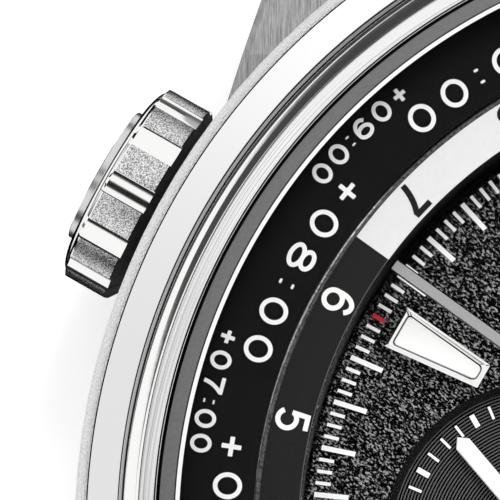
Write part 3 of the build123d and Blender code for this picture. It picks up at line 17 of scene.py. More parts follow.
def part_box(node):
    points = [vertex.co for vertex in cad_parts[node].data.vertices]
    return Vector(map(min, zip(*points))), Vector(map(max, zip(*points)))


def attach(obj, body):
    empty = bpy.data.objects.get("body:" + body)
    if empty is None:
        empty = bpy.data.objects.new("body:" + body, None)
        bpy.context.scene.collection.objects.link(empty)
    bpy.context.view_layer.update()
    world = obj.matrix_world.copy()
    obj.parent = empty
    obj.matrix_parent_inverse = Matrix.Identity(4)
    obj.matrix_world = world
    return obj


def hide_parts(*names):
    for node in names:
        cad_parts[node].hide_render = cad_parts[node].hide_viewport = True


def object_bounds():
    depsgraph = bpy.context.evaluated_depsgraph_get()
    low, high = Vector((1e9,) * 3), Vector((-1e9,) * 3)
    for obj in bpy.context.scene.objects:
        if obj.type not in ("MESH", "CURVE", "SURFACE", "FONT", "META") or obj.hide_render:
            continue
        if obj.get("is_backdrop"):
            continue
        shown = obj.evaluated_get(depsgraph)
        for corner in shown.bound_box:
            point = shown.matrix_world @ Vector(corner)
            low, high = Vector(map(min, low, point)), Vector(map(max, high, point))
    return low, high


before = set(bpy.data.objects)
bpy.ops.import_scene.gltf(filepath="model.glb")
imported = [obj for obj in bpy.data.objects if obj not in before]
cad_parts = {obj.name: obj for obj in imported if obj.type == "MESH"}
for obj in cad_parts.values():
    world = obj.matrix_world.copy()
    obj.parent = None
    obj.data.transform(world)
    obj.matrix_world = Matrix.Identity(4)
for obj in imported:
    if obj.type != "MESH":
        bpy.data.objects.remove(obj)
cad_low, cad_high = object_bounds()
MM = 0.001

# %% [markdown]
# The camera looks down on the upper left quarter of the watch head, leaning a few degrees
# towards 6 o'clock. Its place was worked out from two circles of known size, the edge of
# the rim and the minute track, whose centres lie a little apart in the picture because one
# is deeper than the other. A long lens from 60 cm keeps the rings nearly round.

# %% Camera
AIM = Vector((-16.41, 9.004, 12.2)) * MM
LEAN = (0.03108, -0.11933)
DISTANCE = 600 * MM
LENS = 1361.2
ROLL = -0.00113

scene = bpy.context.scene
camera = bpy.data.objects.new("camera", bpy.data.cameras.new("camera"))
scene.collection.objects.link(camera)
scene.camera = camera
camera.data.lens = LENS
camera.data.sensor_width = 36
camera.data.clip_start, camera.data.clip_end = 0.05, 10
back = Vector((*LEAN, math.sqrt(1 - LEAN[0] ** 2 - LEAN[1] ** 2)))
right = Vector((0, 1, 0)).cross(back).normalized()
up = back.cross(right)
turn = Matrix((right, up, back)).transposed() @ Matrix.Rotation(ROLL, 3, "Z")
camera.matrix_world = Matrix.Translation(AIM + back * DISTANCE) @ turn.to_4x4()
scene.view_settings.view_transform = "Standard"
print("camera at", [round(value, 3) for value in camera.location])

# %% [markdown]
# ## Shader arithmetic
# A finish is written as plain arithmetic. The class holds one output socket, and adding or
# multiplying it makes the Math node. Any other node comes from its one method, which sets
# the node's settings first and its sockets after.

# %% Wire: one socket with arithmetic
class Wire:
    """One output socket of a node tree."""

    def __init__(self, tree, socket):
        self.tree, self.socket = tree, socket

    def node(self, kind, settings=None, values=None, out=0):
        """Any node: its type, its settings, the values or links of its sockets."""
        made = self.tree.nodes.new(kind)
        for key, value in (settings or {}).items():
            setattr(made, key, value)
        for key, value in (values or {}).items():
            if isinstance(value, Wire):
                self.tree.links.new(value.socket, made.inputs[key])
            else:
                made.inputs[key].default_value = value
        return Wire(self.tree, made.outputs[out])

    def sum(self, operation, *values):
        return self.node("ShaderNodeMath", {"operation": operation}, dict(enumerate(values)))

    def __add__(self, other):
        return self.sum("ADD", self, other)

    def __sub__(self, other):
        return self.sum("SUBTRACT", self, other)

    def __rsub__(self, other):
        return self.sum("SUBTRACT", other, self)

    def __mul__(self, other):
        return self.sum("MULTIPLY", self, other)

    def __truediv__(self, other):
        return self.sum("DIVIDE", self, other)

    def __pow__(self, other):
        return self.sum("POWER", self, other)

    def __gt__(self, other):
        return self.sum("GREATER_THAN", self, other)

    def __lt__(self, other):
        return self.sum("LESS_THAN", self, other)

    __radd__, __rmul__ = __add__, __mul__

    def step(self, low, high):
        """A soft step from 0 at low to 1 at high."""
        return self.node("ShaderNodeMapRange", {"interpolation_type": "SMOOTHSTEP"},
                         {"Value": self, "From Min": low, "From Max": high})

    def between(self, first, second):
        """The colour this far from the first to the second."""
        return self.node("ShaderNodeMix", {"data_type": "RGBA"},
                         {0: self, 6: first, 7: second}, 2)

    def parts(self):
        """The x, y and z of a vector."""
        return [self.node("ShaderNodeSeparateXYZ", None, {0: self}, index) for index in range(3)]

    def stretched(self, by):
        return self.node("ShaderNodeVectorMath", {"operation": "MULTIPLY"}, {0: self, 1: by})

    def noise(self, scale, detail=2, out=0, rough=0.5):
        return self.node("ShaderNodeTexNoise", None,
                         {"Vector": self, "Scale": scale, "Detail": detail, "Roughness": rough},
                         out)

    def cells(self, scale, feature="F1", smooth=1.0):
        """Distance to the nearest of scattered points."""
        values = {"Vector": self, "Scale": scale}
        if feature == "SMOOTH_F1":
            values["Smoothness"] = smooth
        return self.node("ShaderNodeTexVoronoi", {"feature": feature}, values, 0)


def grey(value):
    return (value, value, value, 1)


def line_noise(along, settings):
    """Noise along one number, for lines that run round or across a piece."""
    return along.node("ShaderNodeTexNoise", {"noise_dimensions": "1D"}, settings)


# %% [markdown]
# A finish starts from the Principled shader. What is the same all over is set on the
# shader's own sockets, and a recipe adds what changes from place to place. The recipe gets
# the place on the piece in millimetres, so that a scratch or a grain keeps its real size.

# %% Finish: a material from a recipe
def finish(name, colour, metal=0.0, rough=0.5, recipe=None, **fixed):
    made = bpy.data.materials.new(name)
    made.use_nodes = True
    tree = made.node_tree
    shader = tree.nodes["Principled BSDF"]
    shader.inputs["Base Color"].default_value = colour if len(colour) == 4 else (*colour, 1)
    shader.inputs["Metallic"].default_value = metal
    shader.inputs["Roughness"].default_value = rough
    for key, value in fixed.items():
        shader.inputs[key.replace("_", " ")].default_value = value
    if recipe:
        source = tree.nodes.new("ShaderNodeTexCoord").outputs["Object"]
        place = Wire(tree, source).node("ShaderNodeVectorMath", {"operation": "SCALE"},
                                        {0: Wire(tree, source), "Scale": 1 / MM})
        for key, value in recipe(place).items():
            if key == "Height":
                height, depth = value
                value = place.node("ShaderNodeBump", None,
                                   {"Height": height, "Strength": 1.0, "Distance": depth * MM})
                key = "Normal"
            tree.links.new(value.socket, shader.inputs[key])
    return made


def film(tone, rough, noise, depth=0, stretch=None):
    """Recipe of one noise: it sets the shade, the roughness and, if wanted, the relief."""
    def recipe(place):
        spots = (place.stretched(stretch) if stretch else place).noise(*noise)
        made = {"Base Color": spots.between(*tone), "Roughness": rough[0] + spots * rough[1]}
        if depth:
            made["Height"] = (spots, depth)
        return made
    return recipe


def ring_place(place, centre=(0, 0)):
    """Radius and angle of a place about an upright axis."""
    x, y, _ = place.parts()
    x, y = x - centre[0], y - centre[1]
    return (x * x + y * y) ** 0.5, y.sum("ARCTAN2", y, x)


print("shader tools ready")

# %% [markdown]
# ## Metals
# Blasted steel scatters light from tiny craters, a polished bevel is almost a mirror, and a
# brushed face is scratched in one direction. Stretching the noise makes the scratches. Where
# the photograph has black and white grains side by side, the noise drives the base colour
# too, because relief alone gives too little contrast in such an even light.

# %% Metals of the case and crowns
STEEL = (0.86, 0.86, 0.85)


def knurl_blast(place):
    pits = place.noise(21, 2, rough=0.7)
    return {"Base Color": (pits * 4.4 - 1.7).between(grey(0.18), grey(0.98)),
            "Roughness": 0.16 + pits * 0.1, "Height": (pits, 0.006)}


def polished_band(place):
    """The wide band: nearly white, with painted shade greying it toward 9 o'clock."""
    radius, _ = ring_place(place)
    side = (place.parts()[0] / radius * -1).step(0.62, 1.0)
    return {"Base Color": side.between(grey(1.0), grey(0.76)), "Roughness": 0.05 + side * 0.02}


def polished(place):
    wear = place.noise(0.7, 2)
    return {"Roughness": 0.05 + wear * 0.05, "Height": (place.noise(3, 2), 0.0006)}


def turned_lines(place):
    radius, angle = ring_place(place)
    slant = radius - (angle * angle) ** 0.5 * 0.16
    row = place.node("ShaderNodeCombineXYZ", None, {0: slant, 1: angle * 0.09, 2: 0.0})
    lines = row.stretched((14, 9, 1)).noise(1.4, 3)
    shade = (lines * 3.4 - 0.85).between(grey(0.34), grey(1))
    return {"Base Color": shade, "Roughness": 0.14 + lines * 0.2, "Height": (lines, 0.0008)}


def brushed_case(place):
    """Rim blasted, wall brushed round, lugs brushed along the strap."""
    x, y, z = place.parts()
    radius, angle = ring_place(place)
    along = place.stretched((26, 0.9, 3)).noise(1, 3, rough=0.65)
    around = place.node("ShaderNodeCombineXYZ", None, {0: angle * 6, 1: z * 16, 2: 0.0})
    wall = around.noise(1.6, 3, rough=0.6)
    on_rim = (radius > 20.9) * (radius < 22.1) * (z > 11.9)
    on_lug = (radius > 22.02).sum("MAXIMUM", radius > 22.02, (z < 10.45) * (z > 10.35))
    scratch = on_lug * along + (1 - on_lug) * wall
    pits = place.noise(15, 3)
    relief = on_rim * pits + (1 - on_rim) * scratch
    steel = (scratch * 2.2 - 0.6).between(grey(0.20), grey(0.62))
    matte = (pits * 2.6 - 0.8).between(grey(0.76), grey(1))
    return {"Base Color": on_rim.between(steel, matte),
            "Roughness": 0.30 + relief * 0.2 + on_rim * 0.1, "Height": (relief, 0.03)}


case_steel = finish("brushed_case_steel", STEEL, 1, 0.35, brushed_case)
mirror_steel = finish("polished_steel", (0.93, 0.93, 0.92), 1, 0.07, polished)
band_steel = finish("polished_band", grey(0.93), 1, 0.06, polished_band)
lined_steel = finish("turned_steel", STEEL, 1, 0.2, turned_lines)
tooth_steel = finish("blasted_crown_steel", STEEL, 1, 0.3, knurl_blast)
print("case metals:", case_steel.name, mirror_steel.name)

# %% [markdown]
# Near-black metal is painted into the groove of the bezel and the neck of each crown as
# shade, where they look nearly black. The channel between the two dial rings has a rough lip
# with grey grains and a painted highlight line.

# %% Dark and speckled metals
def sooty(place):
    return {"Base Color": place.noise(5, 3).between(grey(0.012), grey(0.05)),
            "Roughness": 0.32 + place.noise(9, 2) * 0.25}


def grey_turned(place):
    radius, _ = ring_place(place)
    streak = line_noise(place, {"W": radius * 26, "Scale": 1.0, "Detail": 2}).step(0.35, 0.7)
    return {"Base Color": streak.between(grey(0.10), grey(0.62)),
            "Roughness": 0.3 + place.noise(8, 2) * 0.1}


def specks(place):
    """Rough lip: grey grains inside a painted, off-centre highlight line, black outside of it.
    """
    spots = place.noise(16, 2, rough=0.7)
    radius, angle = ring_place(place, (0.051, -0.174))
    inside = 1 - radius.step(16.42, 16.45)
    line = radius.step(16.415, 16.44) * (1 - radius.step(16.46, 16.49))
    left = angle.step(2.36, 2.5)
    shade = (inside * 0.12 + line * (left * 0.9 + 0.12)) * (spots * 4.2 - 1.4)
    return {"Base Color": shade.between(grey(0.003), grey(1)),
            "Roughness": 0.45 + spots * 0.2}


painted_shade_steel = finish("painted_shade_steel", grey(0.03), 1, 0.4, sooty)
band_grey = finish("grey_band", grey(0.2), 0.2, 0.4, grey_turned)
neck_painted_shade = finish("neck_painted_shade", grey(0.02), 0.6, 0.4, sooty)
lip_painted_highlight = finish("speckled_lip_painted_highlight", grey(0.2), 0, 0.5, specks, Specular_IOR_Level=0.1)


def fine_flat(place):
    return {"Roughness": 0.22 + place.noise(6, 3) * 0.16,
            "Height": (place.stretched((3, 40, 3)).noise(1, 2), 0.0015)}


bar_steel = finish("pin_steel", (0.55, 0.55, 0.56), 1, 0.3, fine_flat)
print("dark metals ready")

# %% [markdown]
# ## Dial finishes
# The dial is black with a grain like fine leather. Noise on slanted axes, longer one way
# than the other, gives short worms of light on black, and they fade where the rings shade the
# dial's upper edge. The rings are satin lacquer, and the prints are paint that stands a
# hundredth of a millimetre proud.

# %% Dial and ring finishes
def leather_grain(place):
    x, y, z = place.parts()
    slant = place.node("ShaderNodeCombineXYZ", None, {0: (x * 0.77 - y * 0.64) * 9.5,
                                                      1: (x * 0.64 + y * 0.77) * 15.5, 2: z * 9})
    worms = slant.noise(1.0, 2, rough=0.6)
    radius, _ = ring_place(place)
    shade = radius.step(14.0, 14.7) * (y / radius).step(0.35, 0.62)
    light = worms.step(0.51, 0.66) * (1 - shade)
    return {"Base Color": light.between(grey(0.0), grey(0.33)),
            "Roughness": 0.34 + worms * 0.22, "Height": (worms, 0.05)}


def satin_black(place):
    veil = place.noise(1.1, 3)
    return {"Base Color": veil.between(grey(0.004), grey(0.007)),
            "Roughness": 0.30 + veil * 0.12, "Height": (place.noise(24, 2), 0.0015)}


def paint(low, high):
    return film(((*low, 1), (*high, 1)), (0.42, 0.12), (6, 2), 0.002)


dial_grain = finish("grained_dial", grey(0.012), 0, 0.4, leather_grain,
                    Specular_IOR_Level=0.02)
ring_black = finish("satin_ring", grey(0.005), 0, 0.35, satin_black, Specular_IOR_Level=0.03)
day_pale = finish("pale_day_half", grey(0.8), 0, 0.5,
                  film((grey(0.60), grey(0.68)), (0.45, 0.1), (9, 3), 0.003),
                  Specular_IOR_Level=0.2)
night_dark = finish("dark_night_half", grey(0.026), 0, 0.5,
                    film((grey(0.008), grey(0.020)), (0.42, 0.15), (1, 3), 0.006, (11, 22, 11)),
                    Specular_IOR_Level=0.04)
letter_paint = finish("offset_print", grey(0.6), 0, 0.45,
                      paint((0.70, 0.70, 0.70), (0.80, 0.80, 0.80)))
night_digit = finish("night_numeral", grey(0.8), 0, 0.45,
                     paint((0.72, 0.72, 0.70), (0.82, 0.82, 0.80)))
day_digit = finish("day_numeral", grey(0.02), 0, 0.5,
                   paint((0.008, 0.008, 0.01), (0.016, 0.016, 0.018)), Specular_IOR_Level=0.05)
track_white = finish("track_white", grey(0.93), 0, 0.45,
                     paint((0.90, 0.90, 0.90), (0.97, 0.97, 0.97)))
track_red = finish("track_red", (0.5, 0.01, 0.03, 1), 0, 0.4,
                   paint((0.42, 0.006, 0.02), (0.56, 0.012, 0.035)))
line_black = finish("line_black", grey(0.002), 0, 0.5, paint((0.001,) * 3, (0.003,) * 3),
                    Specular_IOR_Level=0.0)
# A lighter grey for the rounded inner edge of the night half: a painted highlight.
night_edge_highlight = finish("painted_edge_highlight", grey(0.07), 0, 0.4, paint((0.06,) * 3, (0.09,) * 3))
print("dial finishes ready")

# %% [markdown]
# The inlays glow at night, so they are a chalky white filler with fine grains. The counter
# plates are black with turned rings, which are cut as real grooves further down. The long
# hand is brushed flat on top and mirror bright along its bevels.

# %% Inlays, counters and hands
def turned_black(place):
    veil = place.noise(3, 2)
    return {"Base Color": veil.between(grey(0.07), grey(0.10)),
            "Roughness": 0.36 + veil * 0.1, "Height": (place.noise(20, 2), 0.002)}


lume = finish("white_inlay", grey(0.86), 0, 0.7,
              film(((0.90, 0.91, 0.89, 1), (0.96, 0.97, 0.95, 1)), (0.62, 0.15), (12, 3), 0.004),
              Specular_IOR_Level=0.2)
ridge_grey = finish("turned_ridges", grey(0.08), 0, 0.4, turned_black,
                    Specular_IOR_Level=0.3)
hand_flat = finish("brushed_hand", grey(0.34), 0.3, 0.4,
                   film((grey(0.28), grey(0.40)), (0.34, 0.15), (16, 3, 0, 0.7), 0.004))
hand_white = finish("painted_hand", grey(0.84), 0, 0.45,
                    paint((0.80, 0.80, 0.80), (0.88, 0.88, 0.88)))
print("hand finishes ready")

# %% [markdown]
# The crystal is clear and thin for light that goes straight through, with a weak shine that
# grows at flat angles: a transparent and a glossy shader mixed by the Fresnel node. Its
# ground edge is grey, and the narrow bevel on top is polished and catches a white line.

# %% Glass
def clear_glass(name, tint, shine):
    made = bpy.data.materials.new(name)
    made.use_nodes = True
    tree = made.node_tree
    tree.nodes.remove(tree.nodes["Principled BSDF"])
    start = Wire(tree, None)
    through = start.node("ShaderNodeBsdfTransparent", None, {"Color": tint})
    gloss = start.node("ShaderNodeBsdfGlossy", None, {"Roughness": 0.02})
    edge = start.node("ShaderNodeFresnel", None, {"IOR": 1.5})
    mixed = start.node("ShaderNodeMixShader", None, {0: edge * shine, 1: through, 2: gloss})
    tree.links.new(mixed.socket, tree.nodes["Material Output"].inputs["Surface"])
    return made


crystal_clear = clear_glass("clear_crystal", grey(0.99), 0.03)
window_clear = clear_glass("clear_window", (0.96, 0.97, 0.97, 1), 0.7)
crystal_ground = finish("ground_crystal_edge", grey(0.14), 0, 0.4,
                        film((grey(0.10), grey(0.155)), (0.38, 0.12), (8, 3)),
                        Specular_IOR_Level=0.3)
crystal_bevel = finish("polished_crystal_bevel", grey(0.95), 1, 0.12,
                       lambda place: {"Roughness": 0.08 + place.noise(2, 2) * 0.08})
print("glass ready")

# %% [markdown]
# ## Movement finishes
# The movement shows through the back. Its bridges carry straight ribs, the plate is covered
# with overlapping circles, wheels are gilt with round brushing, and the rotor is brushed
# round its axis. Each pattern is a wave or a cell texture of the place in millimetres.

# %% Movement finishes
def ribs(place):
    x, y, _ = place.parts()
    across = (x * 0.77 + y * 0.64) * (2 * math.pi / 1.15)
    wave = across.sum("SINE", across) * 0.5 + 0.5
    lines = place.noise(14, 3)
    return {"Base Color": (wave * 0.75 + lines * 0.25).between(grey(0.42), grey(0.82)),
            "Roughness": 0.18 + wave * 0.16 + lines * 0.08, "Height": (wave, 0.03)}


def pearls(place):
    spot = place.cells(1.6)
    swirl = (spot * 30).sum("SINE", spot * 30)
    return {"Base Color": (spot * 1.2).between(grey(0.78), grey(0.45)),
            "Roughness": 0.22 + spot * 0.2, "Height": (swirl, 0.004)}


def round_brush(place):
    radius, angle = ring_place(place)
    lines = line_noise(place, {"W": radius * 9, "Scale": 1.6, "Detail": 3})
    # The sheen is a painted reflection: three lighter sectors round the axis.
    sheen = (angle * 3).sum("SINE", angle * 3) * 0.5 + 0.5
    return {"Base Color": (lines * 0.6 + sheen * 0.4).between(grey(0.34), grey(0.74)),
            "Roughness": 0.22 + lines * 0.2, "Height": (lines, 0.008)}


movement_looks = {
    "ribbed_bridge": finish("ribbed_bridge", grey(0.6), 1, 0.25, ribs),
    "pearled_plate": finish("pearled_plate", grey(0.6), 1, 0.3, pearls),
    "gilt_brass": finish("gilt_brass", (0.75, 0.55, 0.24), 1, 0.28,
                         film(((0.62, 0.43, 0.16, 1), (0.86, 0.64, 0.30, 1)), (0.20, 0.18),
                              (1.2, 3), 0.004, (9, 9, 2))),
    "round_brushed": finish("round_brushed", grey(0.55), 1, 0.3, round_brush),
    "jewel_red": finish("jewel_red", (0.4, 0.01, 0.05), 0, 0.1,
                        film(((0.30, 0.006, 0.03, 1), (0.55, 0.015, 0.07, 1)), (0.06, 0.08),
                             (3, 2)), Coat_Weight=0.5),
    "black_gasket": finish("black_gasket", grey(0.02), 0, 0.6,
                           film((grey(0.012), grey(0.03)), (0.55, 0.2), (8, 3), 0.006)),
    "blue_spring": finish("blue_spring", (0.04, 0.07, 0.2), 1, 0.2,
                          film(((0.03, 0.05, 0.16, 1), (0.06, 0.10, 0.30, 1)), (0.16, 0.12),
                               (2, 2))),
}
print("movement finishes:", len(movement_looks))

# %% [markdown]
# The caseback is turned and polished, the pushers are brushed round, and the cap of a
# crown is bright with darker ends. The movement holder is black turned metal.

# %% Caseback, pushers, caps and holder
def turned_back(place):
    radius, _ = ring_place(place)
    lines = line_noise(place, {"W": radius * 12, "Scale": 1.5, "Detail": 3})
    return {"Base Color": lines.between(grey(0.48), grey(0.80)),
            "Roughness": 0.20 + lines * 0.2, "Height": (lines, 0.01)}


back_steel = finish("turned_back_steel", STEEL, 1, 0.3, turned_back)
lined_button = finish("brushed_pusher", STEEL, 1, 0.3, fine_flat)
cap_steel = finish("crown_cap_side", grey(0.7), 1, 0.25,
                   film((grey(0.62), grey(0.74)), (0.2, 0.08), (4, 2)))
holder_black = finish("black_holder", grey(0.01), 0.2, 0.5,
                      film((grey(0.006), grey(0.014)), (0.45, 0.1), (7, 3)))
print("back, pusher and cap finishes ready")

# %% [markdown]
# ## Shapes from sections
# Nearly every piece of a watch is a section carried along a path: round the axis for a
# ring, upwards for a hand, outwards for a crown. One function skins neighbouring loops of
# points, and the others only place the loops. Corners get a small round, because real
# edges catch a thin line of light and perfectly sharp ones don't.

# %% Skins, turned rings and plates
def loft(loops, pick=None, closed=True, wrap=False, caps=True, cap_marks=(0, 0)):
    """Skin over loops of equally many points; pick(row, column) names a face's finish."""
    count = len(loops[0])
    points = [point for loop in loops for point in loop]
    faces, marks = [], []
    for row in range(len(loops) if wrap else len(loops) - 1):
        after = (row + 1) % len(loops)
        for column in range(count if closed else count - 1):
            beside = (column + 1) % count
            faces.append((row * count + column, row * count + beside,
                          after * count + beside, after * count + column))
            marks.append(pick(row, column) if pick else 0)
    if caps and not wrap:
        faces += [tuple(range(count))[::-1],
                  tuple(range((len(loops) - 1) * count, len(loops) * count))]
        marks += list(cap_marks)
    return points, faces, marks


def together(*shapes):
    """Several shapes in one."""
    points, faces, marks = [], [], []
    for shape in shapes:
        first = len(points)
        points += shape[0]
        faces += [tuple(first + index for index in face) for face in shape[1]]
        marks += shape[2]
    return points, faces, marks


def moved(shape, matrix):
    return [tuple(matrix @ Vector(point)) for point in shape[0]], shape[1], shape[2]


def softened(outline, size, steps=3):
    """Closed outline with its corners rounded; a third value is the finish and stays."""
    made = []
    for index, corner in enumerate(outline):
        here = Vector(corner[:2])
        to_last = Vector(outline[index - 1][:2]) - here
        to_next = Vector(outline[(index + 1) % len(outline)][:2]) - here
        first = here + to_last.normalized() * min(size, to_last.length * 0.4)
        last = here + to_next.normalized() * min(size, to_next.length * 0.4)
        for step in range(steps + 1):
            share = step / steps
            spot = first * (1 - share) ** 2 + here * 2 * share * (1 - share) + last * share ** 2
            made.append((spot.x, spot.y, *corner[2:]))
    return made


def turned(profile, steps=720, centre=(0, 0), start=0, sweep=360):
    """Ring from (radius, height, finish) points of its section."""
    full = sweep == 360
    loops = []
    for step in range(steps if full else steps + 1):
        angle = math.radians(start + sweep * step / steps)
        loops.append([(centre[0] + radius * math.cos(angle),
                       centre[1] + radius * math.sin(angle), height)
                      for radius, height, *_ in profile])
    marks = [mark[0] if mark else 0 for _, _, *mark in profile]
    return loft(loops, lambda row, column: marks[column], wrap=full)


def inset(outline, amount):
    """Outline, anticlockwise, moved inward."""
    made = []
    for index, corner in enumerate(outline):
        before = (Vector(corner) - Vector(outline[index - 1])).normalized()
        after = (Vector(outline[(index + 1) % len(outline)]) - Vector(corner)).normalized()
        first, second = Vector((-before.y, before.x)), Vector((-after.y, after.x))
        shift = (first + second) * (amount / (1 + first.dot(second)))
        made.append((corner[0] + shift.x, corner[1] + shift.y))
    return made


def stacked(rows, pick=None, **how):
    """Skin over flat outlines, each at its height."""
    return loft([[(x, y, z) for x, y in spots] for spots, z in rows], pick, **how)


def plate(outline, low, high, bevel=0.02, side=0, edge=0):
    """Upright plate over an outline with a bevel round its top."""
    rows = [(outline, low), (outline, high - bevel), (inset(outline, bevel), high)]
    return stacked(rows, lambda row, column: (side, edge)[row], cap_marks=(side, 0))


def to_clock(shape, clock, centre=(0, 0)):
    """Turns a shape drawn along +X to an hour direction."""
    return moved(shape, Matrix.Translation((*centre, 0))
                 @ Matrix.Rotation(math.radians(90 - clock), 4, "Z"))


print("shape tools ready")

# %% [markdown]
# A piece is the finished mesh object. Points that fall together are merged, faces are
# smooth, and an edge sharper than the given angle stays sharp. The piece then rides on its
# body and stands for its solid.

# %% Piece: a mesh that rides on a body
def piece(name, shape, finishes, body="root", stands_for=(), sharp=28):
    points, faces, marks = shape
    mesh = bpy.data.meshes.new(name)
    mesh.from_pydata([[value * MM for value in point] for point in points], [], faces)
    for look in finishes:
        mesh.materials.append(look)
    mesh.polygons.foreach_set("material_index", marks)
    work = bmesh.new()
    work.from_mesh(mesh)
    bmesh.ops.remove_doubles(work, verts=work.verts, dist=2e-7)
    bmesh.ops.dissolve_degenerate(work, edges=work.edges, dist=1e-7)
    bare = [edge for edge in work.edges if not edge.link_faces]
    bmesh.ops.delete(work, geom=bare, context="EDGES")
    bmesh.ops.recalc_face_normals(work, faces=work.faces)
    work.to_mesh(mesh)
    work.free()
    thing = bpy.data.objects.new(name, mesh)
    scene.collection.objects.link(thing)
    set_edges(mesh, sharp)
    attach(thing, body)
    if stands_for:
        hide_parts(*stands_for)
    return thing


def set_edges(mesh, sharp):
    """Smooth faces, with sharp edges where the surface turns by more than the angle."""
    work = bmesh.new()
    work.from_mesh(mesh)
    for face in work.faces:
        face.smooth = True
    for edge in work.edges:
        if len(edge.link_faces) == 2:
            edge.smooth = edge.calc_face_angle() < math.radians(sharp)
    work.to_mesh(mesh)
    work.free()


print("piece tool ready")

# %% [markdown]
# ## Bezel
# The bezel is turned from one ring of steel. From the outside in: a wide polished slope with
# painted shade that greys it toward 9 o'clock, a narrow groove with a grey floor behind its
# crest, a bright hollow slope, and a finely lined flat that meets the crystal. The outer wall
# and the walls of the groove and of the small steps are painted near black as shade. The
# third value of a point is the finish of the edge that starts there. A thin black ring on
# the case rim is a painted shadow in the seam between bezel and case.

# %% Bezel
BEZEL = [(19.05, 11.2, 0), (19.36, 11.0, 0), (21.6, 11.0, 1), (21.6, 12.225, 4),
         (20.625, 12.56, 1), (20.61, 12.24, 3), (20.505, 12.24, 1), (20.50, 12.2, 1),
         (20.465, 12.2, 1), (20.453, 12.32, 0),
         (20.32, 12.281, 0), (20.21, 12.253, 0), (20.10, 12.233, 0), (19.99, 12.22, 1),
         (19.98, 12.10, 2), (19.50, 12.20, 1), (19.49, 12.12, 1), (19.465, 12.20, 2),
         (19.43, 12.22, 1), (19.37, 12.0, 0),
         (19.36, 11.45, 0), (19.05, 11.45, 0)]

bezel = piece("bezel_ring", turned(softened(BEZEL, 0.012, 2), 900),
              [mirror_steel, painted_shade_steel, lined_steel, band_grey, band_steel],
              stands_for=("bezel",))
SEAM_SHADOW = [(21.59, 12.02, 0), (21.64, 12.02, 0), (21.64, 12.206, 0), (21.59, 12.225, 0)]
piece("bezel_seam_shadow", turned(SEAM_SHADOW, 900), [line_black])
print("bezel faces:", len(bezel.data.polygons))

# %% [markdown]
# ## Crystal
# A flat sapphire disc. Seen from above, its ground chamfer is a grey band, with a thin line
# painted dark as shade and a bright white line where the top bevel begins. The flat itself
# stays clear.

# %% Crystal and its gasket
CRYSTAL = [(0, 11.55, 0), (19.32, 11.55, 1), (19.32, 12.27, 1), (18.845, 12.66, 3),
           (18.795, 12.70, 2), (18.66, 12.75, 0), (0, 12.75, 0)]

crystal = piece("crystal_disc", turned(CRYSTAL, 720),
                [crystal_clear, crystal_ground, crystal_bevel, painted_shade_steel],
                stands_for=("crystal",), sharp=10)
SEAL = [(19.07, 11.45), (19.32, 11.45), (19.32, 11.55), (19.07, 11.55)]
piece("crystal_seal", turned(softened(SEAL, 0.02, 2), 360), [movement_looks["black_gasket"]],
      stands_for=("crystal_gasket",))
print("crystal faces:", len(crystal.data.polygons))

# %% [markdown]
# ## The two turning rings
# The outer ring is a black satin washer that the crown at 10 turns. The inner ring turns
# once a day and is pale for the day and dark for the night. Their toothed solids stay where
# they are, and a finely cut face lies on each of them.

# %% Ring faces and the lip between them
FACE = 0.02
OUTER_TOP, DAY_TOP = 11.4 + FACE, 11.35 + FACE
OUTER_RING = [(16.345, 10.9, 0), (18.96, 10.9, 0), (18.96, OUTER_TOP, 0),
              (16.51, OUTER_TOP, 1), (16.345, 11.22, 1)]
DAY_RING = [(14.875, 10.98, 0), (16.15, 10.98, 0), (16.15, DAY_TOP, 0),
            (14.905, DAY_TOP, 1), (14.875, 11.345 + FACE, 2)]
DAY_START, DAY_HOURS = 6.5, 12
HOUR_ZERO = 208.61

# The chamfer and inner wall of the outer ring carry the lip's painted highlight line too.
piece("outer_ring_face", turned(softened(OUTER_RING, 0.02, 2), 900), [ring_black, lip_painted_highlight],
      "city_ring")
day_from = 90 - (HOUR_ZERO + 15 * (DAY_START + DAY_HOURS))
for name, look, start in (("day_half_face", day_pale, day_from),
                          ("night_half_face", night_dark, day_from + 180)):
    piece(name, turned(softened(DAY_RING, 0.012, 2), 360, start=start, sweep=180),
          [look, look if look is day_pale else night_edge_highlight, line_black],
          "world_disc")
LIP = [(16.18, 10.9), (16.335, 10.9), (16.335, 11.21), (16.18, 11.21)]
piece("channel_lip", turned(softened(LIP, 0.02, 2), 720), [lip_painted_highlight])
print("ring faces ready, the day half starts at", round(day_from, 2))

# %% [markdown]
# ## Numerals and offsets
# A figure is drawn as pen strokes: a skeleton of arcs and lines in a unit box, and a ribbon
# of even width along it. That keeps one weight at every size. The outer ring carries the
# hour offsets of its 24 zones, in two rows that alternate, where such a ring has places.

# %% Pen strokes of the figures
def bow(x, y, wide, tall, start, end, steps=20):
    return [(x + wide * math.cos(math.radians(start + (end - start) * step / steps)),
             y + tall * math.sin(math.radians(start + (end - start) * step / steps)))
            for step in range(steps + 1)]


def curve_to(first, pull, last, steps=12):
    spots = []
    for step in range(steps + 1):
        share = step / steps
        spots.append(tuple(a * (1 - share) ** 2 + b * 2 * share * (1 - share) + c * share ** 2
                           for a, b, c in zip(first, pull, last)))
    return spots


